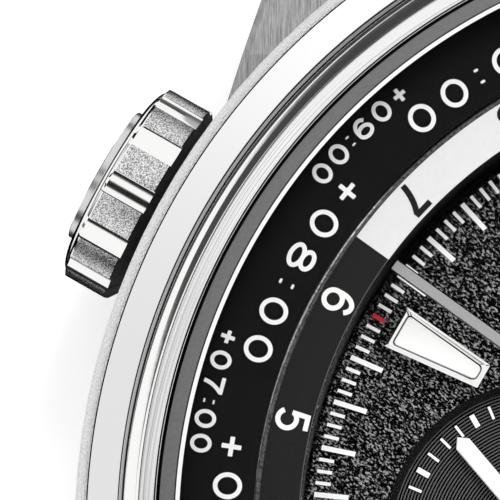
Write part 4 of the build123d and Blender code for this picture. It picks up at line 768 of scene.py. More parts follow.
six = [bow(0.52, 0.5, 0.52, 0.5, 42, 180) + [(0.0, 0.31)], bow(0.5, 0.31, 0.5, 0.31, 0, 360, 36)]
FIGURES = {
    "0": [bow(0.5, 0.5, 0.5, 0.5, 0, 360, 40)],
    "1": [[(0.56, -0.07), (0.56, 1.07)], [(0.56, 1.0), (0.16, 0.76)]],
    "2": [bow(0.5, 0.70, 0.47, 0.30, 165, -28) + [(0.03, 0.0)], [(-0.02, 0.0), (1.05, 0.0)]],
    "3": [bow(0.47, 0.75, 0.42, 0.25, 155, -90), bow(0.47, 0.25, 0.50, 0.25, 90, -155)],
    "4": [[(0.76, -0.08), (0.76, 1.07)], [(0.74, 1.0), (0.02, 0.30)],
          [(-0.06, 0.28), (1.08, 0.28)]],
    "5": [[(0.92, 1.0), (0.17, 1.0), (0.09, 0.45)], bow(0.48, 0.32, 0.50, 0.32, 135, -152)],
    "6": six,
    "7": [[(-0.06, 1.0), (1.08, 1.0)], curve_to((0.99, 0.98), (0.44, 0.52), (0.36, -0.08))],
    "8": [bow(0.5, 0.76, 0.41, 0.24, 0, 360, 30), bow(0.5, 0.26, 0.5, 0.26, 0, 360, 36)],
    "9": [[(1 - x, 1 - y) for x, y in stroke] for stroke in six],
    "+": [[(0.0, 0.46), (1.0, 0.46)], [(0.5, 0.06), (0.5, 0.86)]],
    "-": [[(0.08, 0.46), (0.92, 0.46)]],
    ":": [[(0.5, 0.16), (0.5, 0.26)], [(0.5, 0.70), (0.5, 0.80)]],
}
ADVANCE = {":": 0.22, "1": 0.75, "-": 0.8, "+": 0.9}
PRINT = 0.012


def ribbon(path, half, low, high):
    """Flat stroke of even width along a path."""
    loop = math.dist(path[0], path[-1]) < 1e-6
    nodes = path[:-1] if loop else path
    loops = []
    for index, here in enumerate(nodes):
        last = nodes[index - 1] if loop or index else here
        after = nodes[(index + 1) % len(nodes)] if loop or index < len(nodes) - 1 else here
        first = Vector(here) - Vector(last)
        second = Vector(after) - Vector(here)
        first = first if first.length else second
        second = second if second.length else first
        first.normalize(), second.normalize()
        side = Vector((-first.y - second.y, first.x + second.x)).normalized()
        side *= half / max(0.62, side.dot(Vector((-first.y, first.x))))
        left, right = Vector(here) + side, Vector(here) - side
        loops.append([(*left, low), (*left, high), (*right, high), (*right, low)])
    return loft(loops, wrap=loop)


def words(text, middle, radius, tall, wide, gap, pen, level):
    """Text on a ring, tops to the centre, read anticlockwise about its middle angle."""
    widths = [wide * ADVANCE.get(letter, 1) for letter in text]
    total = sum(widths) + gap * (len(text) - 1)
    shapes, cursor = [], -total / 2
    for letter, width in zip(text, widths):
        angle = math.radians(middle) + (cursor + width / 2) / radius
        cursor += width + gap
        for layer, stroke in enumerate(FIGURES[letter]):
            path = [((x - 0.5) * (width - pen), (y - 0.5) * (tall - pen)) for x, y in stroke]
            shape = ribbon(path, pen / 2, level, level + PRINT + 0.002 * layer)
            spin = Matrix(((-math.sin(angle), -math.cos(angle), 0, radius * math.cos(angle)),
                           (math.cos(angle), -math.sin(angle), 0, radius * math.sin(angle)),
                           (0, 0, 1, 0), (0, 0, 0, 1)))
            shapes.append(moved(shape, spin))
    return together(*shapes)


print("figures:", "".join(sorted(FIGURES)))

# %% [markdown]
# The place nearest 10 o'clock reads eight hours ahead, and each zone further clockwise is
# one hour more. Even offsets stand large in the inner row, odd ones small in the outer row.

# %% Offsets and hours
ZONE_EIGHT = 150.3
offsets = []
for offset in range(-11, 13):
    sign = "-" if offset < 0 else "+"
    text = f"{sign}{abs(offset):02d}:00"
    angle = ZONE_EIGHT + (8 - offset) * 15
    size = (18.24, 0.69, 0.60, 0.20, 0.125) if offset % 2 else (17.23, 0.93, 0.86, 0.44, 0.145)
    offsets.append(words(text, angle, *size, OUTER_TOP))
piece("zone_offsets", together(*offsets), [letter_paint], "city_ring")

day_hours, night_hours = [], []
for hour in range(1, 25):
    shape = words(str(hour), 90 - (HOUR_ZERO + 15 * hour), 15.535, 1.10,
                  0.75 if hour < 10 else 0.64, 0.16, 0.19 if hour == 7 else 0.16, DAY_TOP)
    by_day = DAY_START < hour < DAY_START + DAY_HOURS
    (day_hours if by_day else night_hours).append(shape)
piece("day_numerals", together(*day_hours), [day_digit], "world_disc")
piece("night_numerals", together(*night_hours), [night_digit], "world_disc")
print("offsets:", len(offsets), "hours:", len(day_hours) + len(night_hours))

# %% [markdown]
# ## Dial
# The dial lies deep inside the rings. It is a thin disc with a hole for the hands and two
# wide windows, and each window has a smooth black bevel. The grain of the face is a
# shader, because its pebbles are smaller than a tenth of a millimetre.

# %% Dial
def circle(radius, centre=(0, 0), steps=360, backward=False):
    spots = [(centre[0] + radius * math.cos(math.tau * step / steps),
              centre[1] + radius * math.sin(math.tau * step / steps)) for step in range(steps)]
    return spots[::-1] if backward else spots


def pierced(outlines, low, high, bevels):
    """Plate with holes; the outer outline runs anticlockwise, the holes clockwise."""
    points, faces, marks, bottoms, tops = [], [], [], [], []
    for outline, (wide, deep) in zip(outlines, bevels):
        rows = [(outline, low), (outline, high - deep), (inset(outline, wide), high)]
        shape = stacked(rows, lambda row, column: 1, caps=False)
        start = len(points)
        points += shape[0]
        faces += [tuple(start + index for index in face) for face in shape[1]]
        marks += shape[2]
        bottoms.append(range(start, start + len(outline)))
        tops.append(range(start + 2 * len(outline), start + 3 * len(outline)))
    for group, mark in ((bottoms, 1), (tops, 0)):
        order = [index for part in group for index in part]
        flat = [[Vector((*points[index][:2], 0)) for index in part] for part in group]
        for corners in tessellate_polygon(flat):
            faces.append(tuple(order[index] for index in corners))
            marks.append(mark)
    return points, faces, marks


COUNTER_X, COUNTER_RADIUS = 7.11, 4.95
DIAL_LOW, DIAL_TOP = 8.75, 9.15
windows = [circle(COUNTER_RADIUS, (side * COUNTER_X, 0), 300, True) for side in (-1, 1)]
dial_shape = pierced([circle(14.78, steps=720), circle(1.13, steps=90, backward=True), *windows],
                     DIAL_LOW, DIAL_TOP,
                     [(0.02, 0.02), (0.03, 0.03), (0.20, 0.14), (0.20, 0.14)])
piece("dial_face", dial_shape, [dial_grain, ring_black],
      stands_for=("dial",), sharp=20)
print("dial faces:", len(dial_shape[1]))

# %% [markdown]
# Each counter plate is turned with fine ridges a tenth of a millimetre apart. They are
# real relief here, grey on top and painted black in the furrows as shade, because the
# picture comes close enough to see every ridge. The printed marks stand on narrow black pads.

# %% Counter plates and their marks
def mark_at(inner, outer, width, clock, centre, level, rise=PRINT):
    x, y = math.cos(math.radians(90 - clock)), math.sin(math.radians(90 - clock))
    path = [(centre[0] + radius * x, centre[1] + radius * y) for radius in (inner, outer)]
    return ribbon(path, width / 2, level, level + rise)


RIDGE, FIRST_RIDGE, LAST_RIDGE = 0.101, 0.60, 4.915
plate_line = [(0.45, 8.745), (0.45, 8.60), (5.20, 8.60), (5.20, 8.745), (4.97, 8.745),
              (4.965, 8.70)]
ridge = LAST_RIDGE
while ridge > FIRST_RIDGE:
    plate_line += [(ridge + 0.022, 8.738, 1), (ridge - 0.022, 8.738), (ridge - 0.035, 8.710),
                   (ridge - RIDGE + 0.035, 8.710)]
    ridge -= RIDGE
plate_line.append((0.60, 8.745))
pads, ticks = [], []
for side in (-1, 1):
    centre = (side * COUNTER_X, 0)
    for step in range(48):
        wide = 0.175 if step % 4 == 0 else 0.09
        pads.append(mark_at(4.25, 4.735, wide + 0.06, step * 7.5, centre, 8.715, 0.031))
        ticks.append(mark_at(4.275, 4.71, wide, step * 7.5, centre, 8.74))
piece("counter_plates", together(*[turned(plate_line, 360, (side * COUNTER_X, 0))
                                   for side in (-1, 1)]),
      [line_black, ridge_grey], stands_for=("counter_dials",), sharp=80)
piece("counter_pads", together(*pads), [line_black])
piece("counter_marks", together(*ticks), [track_white])
print("ridges on each plate:", (len(plate_line) - 7) // 4)

# %% [markdown]
# The minute track divides the edge of the dial into quarter minutes: short marks, a longer
# mark each minute, and a red one every five.

# %% Minute track
white_marks, red_marks = [], []
for step in range(240):
    if step % 20 == 0:
        marks, size = red_marks, (14.08, 14.54, 0.145)
    else:
        marks, size = white_marks, (14.07, 14.55, 0.11) if step % 4 else (13.45, 14.55, 0.16)
    marks.append(mark_at(*size, step * 1.5, (0, 0), DIAL_TOP))
piece("minute_marks", together(*white_marks), [track_white])
piece("five_minute_marks", together(*red_marks), [track_red])
print("marks:", len(white_marks), "white and", len(red_marks), "red")

# %% [markdown]
# ## Hour markers
# A marker is a polished frame on the dial with a white inlay. A narrow black gap runs
# round the inlay and its corners are round. The frame has a small bevel on both edges, so
# it draws a bright outline from every side.

# %% Hour markers
MARKER_OUTER, MARKER_TAPER = 13.69, math.tan(math.radians(5.3))


def marker_edge(inner, width, grow, corner):
    inner_half = width / 2 - (MARKER_OUTER - inner) * MARKER_TAPER
    edge = [(inner - grow, -inner_half - grow), (MARKER_OUTER + grow, -width / 2 - grow),
            (MARKER_OUTER + grow, width / 2 + grow), (inner - grow, inner_half + grow)]
    return softened(edge, corner, 6)


frames, inlays, floors = [], [], []
for hour in range(12):
    for clock, width in (((-3.6, 0.95), (3.6, 0.95)) if hour == 0 else ((hour * 30, 1.44),)):
        inner = 12.45 if hour in (3, 9) else 10.45
        outer_edge = marker_edge(inner, width, 0, 0.03)
        ridge_line = marker_edge(inner, width, -0.075, 0.10)
        inner_edge = marker_edge(inner, width, -0.158, 0.18)
        rows = [(outer_edge, DIAL_TOP), (outer_edge, 9.565), (ridge_line, 9.60),
                (inner_edge, 9.565), (inner_edge, 9.27)]
        frames.append(to_clock(stacked(rows, wrap=True), clock))
        floors.append(to_clock(plate(inner_edge, DIAL_TOP, 9.27, 0.01), clock))
        inlays.append(to_clock(plate(marker_edge(inner, width, -0.20, 0.15), 9.26, 9.56, 0.03),
                               clock))
piece("marker_frames", together(*frames), [mirror_steel],
      stands_for=("hour_markers",), sharp=20)
piece("marker_floors", together(*floors), [line_black])
piece("marker_inlays", together(*inlays), [lume], stands_for=("marker_lume",))
print("markers:", len(frames))

# %% [markdown]
# ## Hands
# The hour and minute hands are open batons with a white inlay. The long chronograph hand
# is a flat bar with polished bevels and a round counterweight. The counter hands are white
# pointers. Each hand is drawn along +X, turned to its hour and set on its own body.

# %% Hands
def baton(length, width, hub, bore, low, high, clock):
    """Beveled baton with a slot, its hub, and the inlay of the slot."""
    root, point, half = width * 0.31, width * 0.55, width / 2
    edge = [(hub * 0.8, -root), (length - point, -half), (length, 0), (length - point, half),
            (hub * 0.8, root)]
    outer, inner_half, outer_half = length - point - 0.26, root - 0.13, half - 0.26
    slot = [(2.6, -inner_half), (outer, -outer_half), (outer + outer_half, 0),
            (outer, outer_half), (2.6, inner_half)]
    body = pierced([edge, slot[::-1]], low, high, [(0.06, 0.05), (0.03, 0.03)])
    ring = turned([(bore, low), (hub, low), (hub, high - 0.05), (hub - 0.06, high + 0.001),
                   (bore + 0.04, high + 0.001), (bore, high - 0.03)], 120)
    inlay = plate(inset(slot, 0.02), low + 0.01, high - 0.03, 0.02)
    return to_clock(together(body, ring), clock), to_clock(inlay, clock)


for name, body, length, width, hub, bore, low, high, clock in (
        ("hour", "hour", 8.8, 1.5, 1.45, 0.98, 9.70, 9.92, 304.0),
        ("minute", "minute", 13.2, 1.2, 1.15, 0.74, 10.22, 10.42, 48.0)):
    steel, filler = baton(length, width, hub, bore, low, high, clock)
    piece(f"{name}_hand_steel", steel, [mirror_steel, mirror_steel], body,
          (f"{name}_hand",), 20)
    piece(f"{name}_hand_inlay", filler, [lume], body)

TAIL, TIP, BAR, LOW = -4.2, 14.74, 0.20, 10.72
bar = plate([(TAIL, -BAR), (TIP, -BAR), (TIP, BAR), (TAIL, BAR)], LOW, 10.86, 0.04,
            side=1, edge=1)
weight = turned([(0, LOW, 1), (0.75, LOW, 1), (0.75, 10.82, 1), (0.71, 10.861, 0),
                 (0, 10.861, 0)], 120, (TAIL, 0))
hub_disc = turned([(0.2, LOW, 1), (0.85, LOW, 1), (0.85, 10.82, 1), (0.80, 10.862, 0),
                   (0.2, 10.862, 1)], 120)
piece("long_hand", to_clock(together(bar, weight, hub_disc), 306.2), [hand_flat, mirror_steel],
      "chrono_seconds", ("chrono_seconds_hand",), 20)

BACK, REACH, HALF = -1.3, 4.36, 0.27
for name, side, clock in (("hour_counter", -1, 320.0), ("minute_counter", 1, 118.0)):
    pointer = plate([(BACK, -HALF), (REACH - HALF, -HALF), (REACH, 0), (REACH - HALF, HALF),
                     (BACK, HALF)], 8.93, 9.09, 0.03)
    cap = turned([(0, 8.93), (0.55, 8.93), (0.55, 9.05), (0.50, 9.091), (0, 9.091)], 90)
    arbor = turned([(0, 6.84), (0.2, 6.84), (0.2, 7.6), (1.1, 7.6), (1.1, 7.82), (0.2, 7.82),
                    (0.2, 8.94), (0, 8.94)], 60)
    piece(f"{name}_pointer", to_clock(together(pointer, cap), clock, (side * COUNTER_X, 0)),
          [hand_white], name, (f"{name}_hand",), 20)
    piece(f"{name}_arbor", moved(arbor, Matrix.Translation((side * COUNTER_X, 0, 0))),
          [bar_steel], name)
print("hands ready")

# %% [markdown]
# ## Crowns
# Two alike crowns stand at 3 and at 10 o'clock. Twelve wide teeth are blasted matte, and
# the flutes between them are scooped out and polished, with a painted shadow line along one
# wall. Toward the case the crown ends in a neck painted black as shade, and outward in a
# dome with a round cap. It is drawn along +Z and laid down.

# %% Crown shape
FLUTE_RADIUS, FLUTE_CENTRE, FLUTE_HALF, WALL = 2.2, 5.53, 6.7, 0.35
TOOTH_PHASE, TEETH = 8.4, 12
FLUTE_COLUMNS, TOOTH_COLUMNS = 28, 14


def flute(angle):
    """Radius of the floor at this angle from a flute's middle: flat arc and steep sides."""
    if abs(angle) >= FLUTE_HALF:
        return 9.0
    turn = math.radians(angle)
    floor = FLUTE_CENTRE * math.cos(turn) - math.sqrt(FLUTE_RADIUS ** 2
                                                      - (FLUTE_CENTRE * math.sin(turn)) ** 2)
    side = min(1, (FLUTE_HALF - abs(angle)) / WALL)
    return floor * side + 3.45 * (1 - side)


def crown_angles():
    """Angles of the columns: evenly over each tooth, and closer across each flute."""
    angles = []
    for index in range(TEETH):
        middle = TOOTH_PHASE + (index + 0.5) * 30
        angles += [middle - FLUTE_HALF * math.cos(math.pi * step / FLUTE_COLUMNS)
                   for step in range(FLUTE_COLUMNS)]
        angles += [middle + FLUTE_HALF + (30 - 2 * FLUTE_HALF) * step / TOOTH_COLUMNS
                   for step in range(TOOTH_COLUMNS)]
    return angles


dome = []
for step in range(1, 13):
    share = step / 12
    pulls = ((3.25, 24.16), (3.16, 24.29), (2.75, 24.40), (2.29, 24.40))
    weights = ((1 - share) ** 3, 3 * share * (1 - share) ** 2, 3 * share ** 2 * (1 - share),
               share ** 3)
    dome.append((sum(w * p[0] for w, p in zip(weights, pulls)),
                 sum(w * p[1] for w, p in zip(weights, pulls)), 1, False))
# Each row: radius, height, finish of the band below it, and whether the flutes cut it.
CROWN = [(0, 22.95, 2, False), (1.56, 22.95, 2, False), (1.56, 22.2, 2, False),
         (2.88, 22.2, 2, True), (2.92, 22.22, 2, True), (3.43, 22.58, 2, True),
         (3.45, 22.62, 3, True), (3.45, 24.03, 0, True), (3.44, 24.07, 1, True),
         (3.27, 24.15, 1, True), (3.25, 24.16, 1, True), (3.25, 24.161, 1, False), *dome,
         (2.29, 24.60, 4, False), (2.27, 24.62, 1, False), (2.0, 24.631, 0, False),
         (1.2, 24.655, 0, False), (0.5, 24.668, 0, False), (0, 24.67, 0, False)]


def crown_shape():
    angles, loops = crown_angles(), []
    per_tooth = len(angles) // TEETH
    for radius, height, _, fluted in CROWN:
        loop = []
        for angle in angles:
            offset = (angle - TOOTH_PHASE) % 30 - 15
            reach = min(radius, flute(offset)) if fluted else radius
            loop.append((reach * math.cos(math.radians(angle)),
                         reach * math.sin(math.radians(angle)), height))
        loops.append(loop)

    def pick(row, column):
        """Flutes are polished above the neck, with a painted shadow line along one wall."""
        _, height, mark, fluted = CROWN[row + 1]
        place = column % per_tooth
        if fluted and place < FLUTE_COLUMNS and height > 22.6:
            return 3 if place < 3 else 1
        return mark
    return loft(loops, pick, caps=False)


def lay_down(shape, clock):
    """Turns a shape drawn along +Z about the origin to point outward at this hour angle."""
    return moved(shape, Matrix.Translation((0, 0, 5.25))
                 @ Matrix.Rotation(math.radians(90 - clock), 4, "Z")
                 @ Matrix.Rotation(math.radians(90), 4, "Y"))


crown_finishes = [tooth_steel, mirror_steel, neck_painted_shade, painted_shade_steel, cap_steel]
for name, clock in (("main_crown", 90), ("city_crown", 300)):
    piece(f"{name}_knob", lay_down(crown_shape(), clock), crown_finishes, name,
          (name,), 24)
print("crown rows:", len(CROWN), "columns:", len(crown_angles()))

# %% [markdown]
# Two plain round pushers start, stop and reset the chronograph. They ride on their own
# bodies, so that they can be pressed.

# %% Pushers
for name, clock in (("start_pusher", 62), ("reset_pusher", 118)):
    line = softened([(0, 21.0), (0.8, 21.0), (0.8, 23.4), (1.9, 23.4), (1.9, 24.8), (1.6, 25.1),
                     (0, 25.16)], 0.05, 3)
    line = [(max(radius, 0), height, 1 if height > 24.7 else 0) for radius, height in line]
    piece(f"{name}_button", lay_down(turned(line, 240), clock), [lined_button, mirror_steel],
          name, (name,), 24)
print("pushers ready")

# %% [markdown]
# ## Case
# The case wall, lugs and caseback keep their own solids and only get their steel. The
# brushed finish tells rim, wall and lug apart by radius and height.

# %% Looks of the CAD solids
def dress(node, look):
    thing = bpy.data.objects[node]
    if not thing.material_slots:
        thing.data.materials.append(look)
    for slot in thing.material_slots:
        slot.link = "OBJECT"
        slot.material = look


looks = {"case_middle": case_steel, "caseback": back_steel, "caseback_window": window_clear,
         "stem_tubes": bar_steel, "spring_bars": bar_steel, "winding_stem": bar_steel,
         "city_stem": bar_steel, "rotor_post": bar_steel, "bridge_screws": bar_steel,
         "chrono_arbor": bar_steel, "movement_holder": holder_black, "city_ring": ring_black,
         "world_disc": dial_grain, "hairspring": movement_looks["blue_spring"],
         "balance_wheel": movement_looks["gilt_brass"], "jewels": movement_looks["jewel_red"],
         "caseback_gasket": movement_looks["black_gasket"],
         "main_plate": movement_looks["pearled_plate"], "rotor": movement_looks["round_brushed"]}
for node in ("barrel_bridge", "train_bridge", "balance_cock"):
    looks[node] = movement_looks["ribbed_bridge"]
for node in ("city_setting_wheel", "world_idler", "hour_wheel", "minute_wheel", "centre_wheel",
             "third_wheel", "fourth_wheel", "mainspring_barrel"):
    looks[node] = movement_looks["gilt_brass"]
for node in ("winding_pinion", "cannon_pinion", "escape_wheel", "pallet_fork"):
    looks[node] = bar_steel
for node, look in looks.items():
    dress(node, look)
print("dressed solids:", len(looks))

# %% [markdown]
# ## Strap
# The two strap halves are padded leather: a rounded section that follows the side line
# from the head round the spring bar down to the table. The edges are thinner than the
# middle, a shallow groove runs along each side, and the stitches lie in it.

# %% Leather and thread
def hide(place):
    x, y, z = place.parts()
    bent = place.node("ShaderNodeVectorMath", {"operation": "ADD"},
                      {0: place, 1: place.noise(0.8, 2, out=1).stretched((0.8, 0.8, 0))})
    creases = bent.cells(1.15, "SMOOTH_F1", 0.5)
    pores = place.noise(6, 3)
    # The base colour is a little darker in the creases, as painted shade.
    return {"Base Color": (creases * 0.7 + pores * 0.3).between(grey(0.022), grey(0.010)),
            "Roughness": 0.38 + pores * 0.2, "Height": (1 - creases * 0.8 + pores * 0.2, 0.16)}


leather = finish("black_leather", grey(0.016), 0, 0.45, hide, Specular_IOR_Level=0.4)
thread = finish("dark_thread", grey(0.05), 0, 0.7,
                film((grey(0.03), grey(0.07)), (0.6, 0.2), (3, 2), 0.02, (4, 1.4, 4)))

BAR_Y, BAR_Z, HEAD = 23.0, 3.6, 1.9
LIFT, THICK, END_THICK, FALL = 1.15, 3.2, 2.4, 0.8


def glide(first, last, first_way, last_way, share):
    """Point on a smooth curve between two points with a direction at each."""
    reach = math.dist(first, last)
    a, b = 2 * share ** 3 - 3 * share ** 2 + 1, share ** 3 - 2 * share ** 2 + share
    c, d = -2 * share ** 3 + 3 * share ** 2, share ** 3 - share ** 2
    return tuple(a * p + b * reach * u + c * q + d * reach * v
                 for p, u, q, v in zip(first, first_way, last, last_way))


def strap_lines(length, lift, end_round):
    """Stations along a strap half: (y, low z, high z)."""
    rows = [(BAR_Y - HEAD * math.cos(math.radians(angle)),
             BAR_Z - HEAD * math.sin(math.radians(angle)),
             BAR_Z + HEAD * math.sin(math.radians(angle))) for angle in range(9, 90, 9)]
    run, tip = BAR_Y + 12, BAR_Y + length
    taper = min(run + 50, tip - end_round)
    fall = FALL / (taper - run)
    steps = 20
    for step in range(steps + 1):
        share = step / steps
        top = glide((BAR_Y, BAR_Z + HEAD), (run, lift + THICK), (1, 0), (1, -fall), share)
        low = glide((BAR_Y, BAR_Z - HEAD), (run, lift), (1, 0), (1, 0), share)
        rows.append((BAR_Y + 12 * share, low[1], top[1]))
    for step in range(1, 31):
        y = run + (taper - run) * step / 30
        rows.append((y, lift, lift + THICK - fall * (y - run)))
    y = taper
    while y < tip - end_round - 0.01:
        y = min(y + 1.5, tip - end_round)
        rows.append((y, lift, lift + END_THICK))
    return rows


def half_width(y):
    return (21.5 - 3.5 * min(1, max(0, (y - BAR_Y + 2.9) / 64.9))) / 2


def leather_section(half, low, high):
    """Cross section of the strap, anticlockwise from the lower left corner."""
    thick = high - low
    slim = min(1, thick / 1.15)
    edge = low + thick * 0.70
    right = [(half - 0.30, low), (half - 0.08, low + 0.10 * slim), (half, low + 0.32 * slim),
             (half, edge - 0.34 * slim), (half - 0.10, edge - 0.10 * slim),
             (half - 0.36, edge + 0.03 * slim),
             (half - 0.9, edge + thick * 0.07), (half - 1.45, edge + thick * 0.11),
             (half - 1.75, edge + thick * 0.10 - 0.10 * slim),
             (half - 2.05, edge + thick * 0.13 - 0.10 * slim),
             (half - 2.35, edge + thick * 0.16), (half - 3.2, edge + thick * 0.22),
             (half - 4.6, edge + thick * 0.27), (half * 0.3, high - 0.005)]
    left = [(-x, z) for x, z in right[::-1]]
    return right + [(0, high)] + left + [(0, low)]


def strap_half(length, lift, end_round):
    """Loft along a strap half; with an end round its tip runs out in an arc."""
    loops = []
    for y, low, high in strap_lines(length, lift, end_round):
        loops.append([(x, y, z) for x, z in leather_section(half_width(y), low, high)])
    centre = BAR_Y + length - end_round
    for step in range(1, 19 if end_round > 2 else 5):
        turn = math.radians((86 if end_round > 2 else 60) * step / (18 if end_round > 2 else 4))
        half = 9.0 * math.cos(turn) if end_round > 2 else 9.0
        y = centre + end_round * math.sin(turn)
        if end_round > 2:
            section = leather_section(9.0, lift, lift + END_THICK)
            loops.append([(x * half / 9.0, y, z) for x, z in section])
        else:
            pinch = 1.2 * (1 - math.cos(turn))
            loops.append([(x, y, z) for x, z in
                          leather_section(9.0, lift + pinch, lift + END_THICK - pinch)])
    return loft(loops)


def rod(spine, radius, sides=10, blunt=0.5):
    """Round rod with rounded ends along a few points."""
    nodes = [Vector(point) for point in spine]
    ways = [(nodes[min(i + 1, len(nodes) - 1)] - nodes[max(i - 1, 0)]).normalized()
            for i in range(len(nodes))]
    rows = [(nodes[0] - ways[0] * radius * blunt, ways[0], 0.25 * radius)]
    rows += [(node, way, radius) for node, way in zip(nodes, ways)]
    rows.append((nodes[-1] + ways[-1] * radius * blunt, ways[-1], 0.25 * radius))
    loops = []
    for node, way, reach in rows:
        aside = way.cross(Vector((0, 0, 1)) if abs(way.z) < 0.9 else Vector((1, 0, 0)))
        aside.normalize()
        above = aside.cross(way)
        loops.append([tuple(node + reach * (aside * math.cos(math.tau * k / sides)
                                            + above * math.sin(math.tau * k / sides)))
                      for k in range(sides)])
    return loft(loops)


def mirrored(shape):
    return [(x, -y, z) for x, y, z in shape[0]], [face[::-1] for face in shape[1]], shape[2]


print("strap tools ready")

# %% [markdown]
# Holes and the tang slot are cut through the finished loft. A boolean does that without
# planning the mesh round them, and it is applied at once, so that only clean meshes remain.
# It needs closed shapes that don't cross themselves, and a cutter whose corners miss the
# edges of the loft, so the corners of a hole are turned by a third of a step.

# %% Strap halves
def carve(thing, *shapes):
    """Cuts closed shapes out of a piece."""
    for shape in shapes:
        mesh = bpy.data.meshes.new("cutter")
        mesh.from_pydata([[value * MM for value in point] for point in shape[0]], [], shape[1])
        work = bmesh.new()
        work.from_mesh(mesh)
        bmesh.ops.recalc_face_normals(work, faces=work.faces)
        work.to_mesh(mesh)
        work.free()
        cutter = bpy.data.objects.new("cutter", mesh)
        scene.collection.objects.link(cutter)
        cut = thing.modifiers.new("cut", "BOOLEAN")
        cut.object, cut.solver = cutter, "EXACT"
        bpy.context.view_layer.update()
        graph = bpy.context.evaluated_depsgraph_get()
        made = bpy.data.meshes.new_from_object(thing.evaluated_get(graph))
        thing.modifiers.clear()
        thing.data = made
        bpy.data.objects.remove(cutter)
    set_edges(thing.data, 40)


def column(x, y, radius, low=-1.0, high=9.0, sides=48):
    turns = [math.tau * (k + 0.37) / sides for k in range(sides)]
    return loft([[(x + radius * math.cos(turn), y + radius * math.sin(turn), z)
                  for turn in turns] for z in (low, high)])


upper = piece("upper_strap_leather", strap_half(75.6, LIFT, 0.8), [leather], "strap_upper",
              ("strap_upper",), 40)
slot_cut = plate([(-1.3, 91.1), (1.3, 91.1), (1.3, 101), (-1.3, 101)], -1, 9, 0.01)
carve(upper, slot_cut)
lower = piece("lower_strap_leather", mirrored(strap_half(112, 0, 9.0)), [leather], "strap_lower",
              ("strap_lower",), 40)
carve(lower, *[column(0, -(135 - 27 - 6.5 * index), 1.0) for index in range(7)])
print("strap faces:", len(upper.data.polygons), len(lower.data.polygons))

# %% [markdown]
# The thread is sewn in short slanting stitches. Their path keeps two millimetres from the
# edge, and on the lower half it goes round the tip.

# %% Stitches
def strap_level(y, rows):
    for (y0, low0, high0), (y1, low1, high1) in zip(rows, rows[1:]):
        if y0 <= y <= y1:
            share = (y - y0) / (y1 - y0)
            return low0 + (low1 - low0) * share, high0 + (high1 - high0) * share
    return rows[-1][1:]


def stitch_run(length, lift, end_round, stop):
    rows = strap_lines(length, lift, end_round)
    path, y = [], BAR_Y + 5.0
    while y < stop:
        low, high = strap_level(y, rows)
        thick = high - low
        path.append((half_width(y) - 1.9, y, low + thick * 0.815 - 0.06))
        y += 0.65
    if end_round > 2:
        centre = BAR_Y + length - end_round
        for step in range(1, 23):
            turn = math.radians(4 * step)
            path.append((7.1 * math.cos(turn), centre + 7.1 * math.sin(turn),
                         lift + END_THICK * 0.815 - 0.06))
    stitches = []
    for index in range(0, len(path) - 4, 4):
        for side in (1, -1):
            spine = [(side * x, y, z - 0.12 * (k in (0, 3)))
                     for k, (x, y, z) in enumerate(path[index:index + 4])]
            stitches.append(rod(spine, 0.21, 8))
    return together(*stitches)


piece("upper_stitches", stitch_run(75.6, LIFT, 0.8, 88), [thread], "strap_upper",
      sharp=60)
piece("lower_stitches", mirrored(stitch_run(112, 0, 9.0, 125.5)), [thread], "strap_lower",
      sharp=60)
print("stitched")

# %% [markdown]
# ## Keepers and buckle
# A keeper is a strip of leather bent round into a loop. The pin buckle is a steel frame
# that turns on a bar through the strap end, and its tang swings on the same bar.

# %% Keepers, buckle and tang
def keeper_loop(node):
    low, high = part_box(node)
    x0, z0, x1, z1 = (value / MM for value in (low[0], low[2], high[0], high[2]))
    y0, y1 = low[1] / MM, high[1] / MM
    outer = softened([(x0, z0), (x1, z0), (x1, z1), (x0, z1)], 1.5, 8)
    loops = []
    for point, inner in zip(outer, inset(outer, 0.8)):
        (ax, az), (bx, bz) = point, inner
        cross = softened([(0, y0), (1, y0), (1, y1), (0, y1)], 0.22, 3)
        loops.append([(ax + (bx - ax) * s, y, az + (bz - az) * s) for s, y in cross])
    return loft(loops, wrap=True)


for node, body in (("fixed_keeper", "strap_upper"), ("sliding_keeper", "sliding_keeper")):
    piece(f"{node}_loop", keeper_loop(node), [leather], body, (node,), 35)

PIN_Y, PIN_Z = 97, 2.35
frame_line = [(-10.95, 95.4), (-9.35, 95.4), (-9.35, 106.5), (9.35, 106.5), (9.35, 95.4),
              (10.95, 95.4), (10.95, 108.4), (-10.95, 108.4)]
edge = softened(frame_line, 1.6, 10)
frame_shape = stacked([(inset(edge, 0.25), 1.25), (inset(edge, 0.08), 1.32), (edge, 1.5),
                       (edge, 3.1), (inset(edge, 0.10), 3.33), (inset(edge, 0.32), 3.45)])
bar_shape = rod([(x, PIN_Y, PIN_Z) for x in (-10, 0, 10)], 0.8, 40, 0.02)
piece("buckle_steel", together(frame_shape, bar_shape), [mirror_steel], "buckle",
      ("buckle_frame",), 30)

tongue_line = [(-0.85, 96.4), (0.85, 96.4), (0.80, 106.2), (0.45, 107.3), (0, 107.45),
               (-0.45, 107.3), (-0.80, 106.2)]
edge = softened(tongue_line, 0.3, 4)
tongue = stacked([(inset(edge, 0.12), 3.48), (edge, 3.62), (edge, 4.18),
                  (inset(edge, 0.08), 4.32), (inset(edge, 0.22), 4.38)])
eye_line = softened([(0.86, -0.85), (1.45, -0.85), (1.45, 0.85), (0.86, 0.85)], 0.12, 3)
eye = moved(turned(eye_line, 72), Matrix.Translation((0, PIN_Y, PIN_Z))
            @ Matrix.Rotation(math.radians(90), 4, "Y"))
piece("tang_steel", together(tongue, eye), [mirror_steel], "tang",
      ("buckle_tang",), 30)
print("keepers and buckle ready")

# %% [markdown]
# ## Light and ground
# The photograph has a pure white ground and hard studio light, and most of what it shows is
# a mirror of some kind. So reflections see a white room with a few black cards in it: each
# one is a direction with two angles, dark within the first and bright beyond the second.
# Below the horizon the room is black. Diffuse surfaces get an even light from it instead,
# and one large soft lamp gives direction.

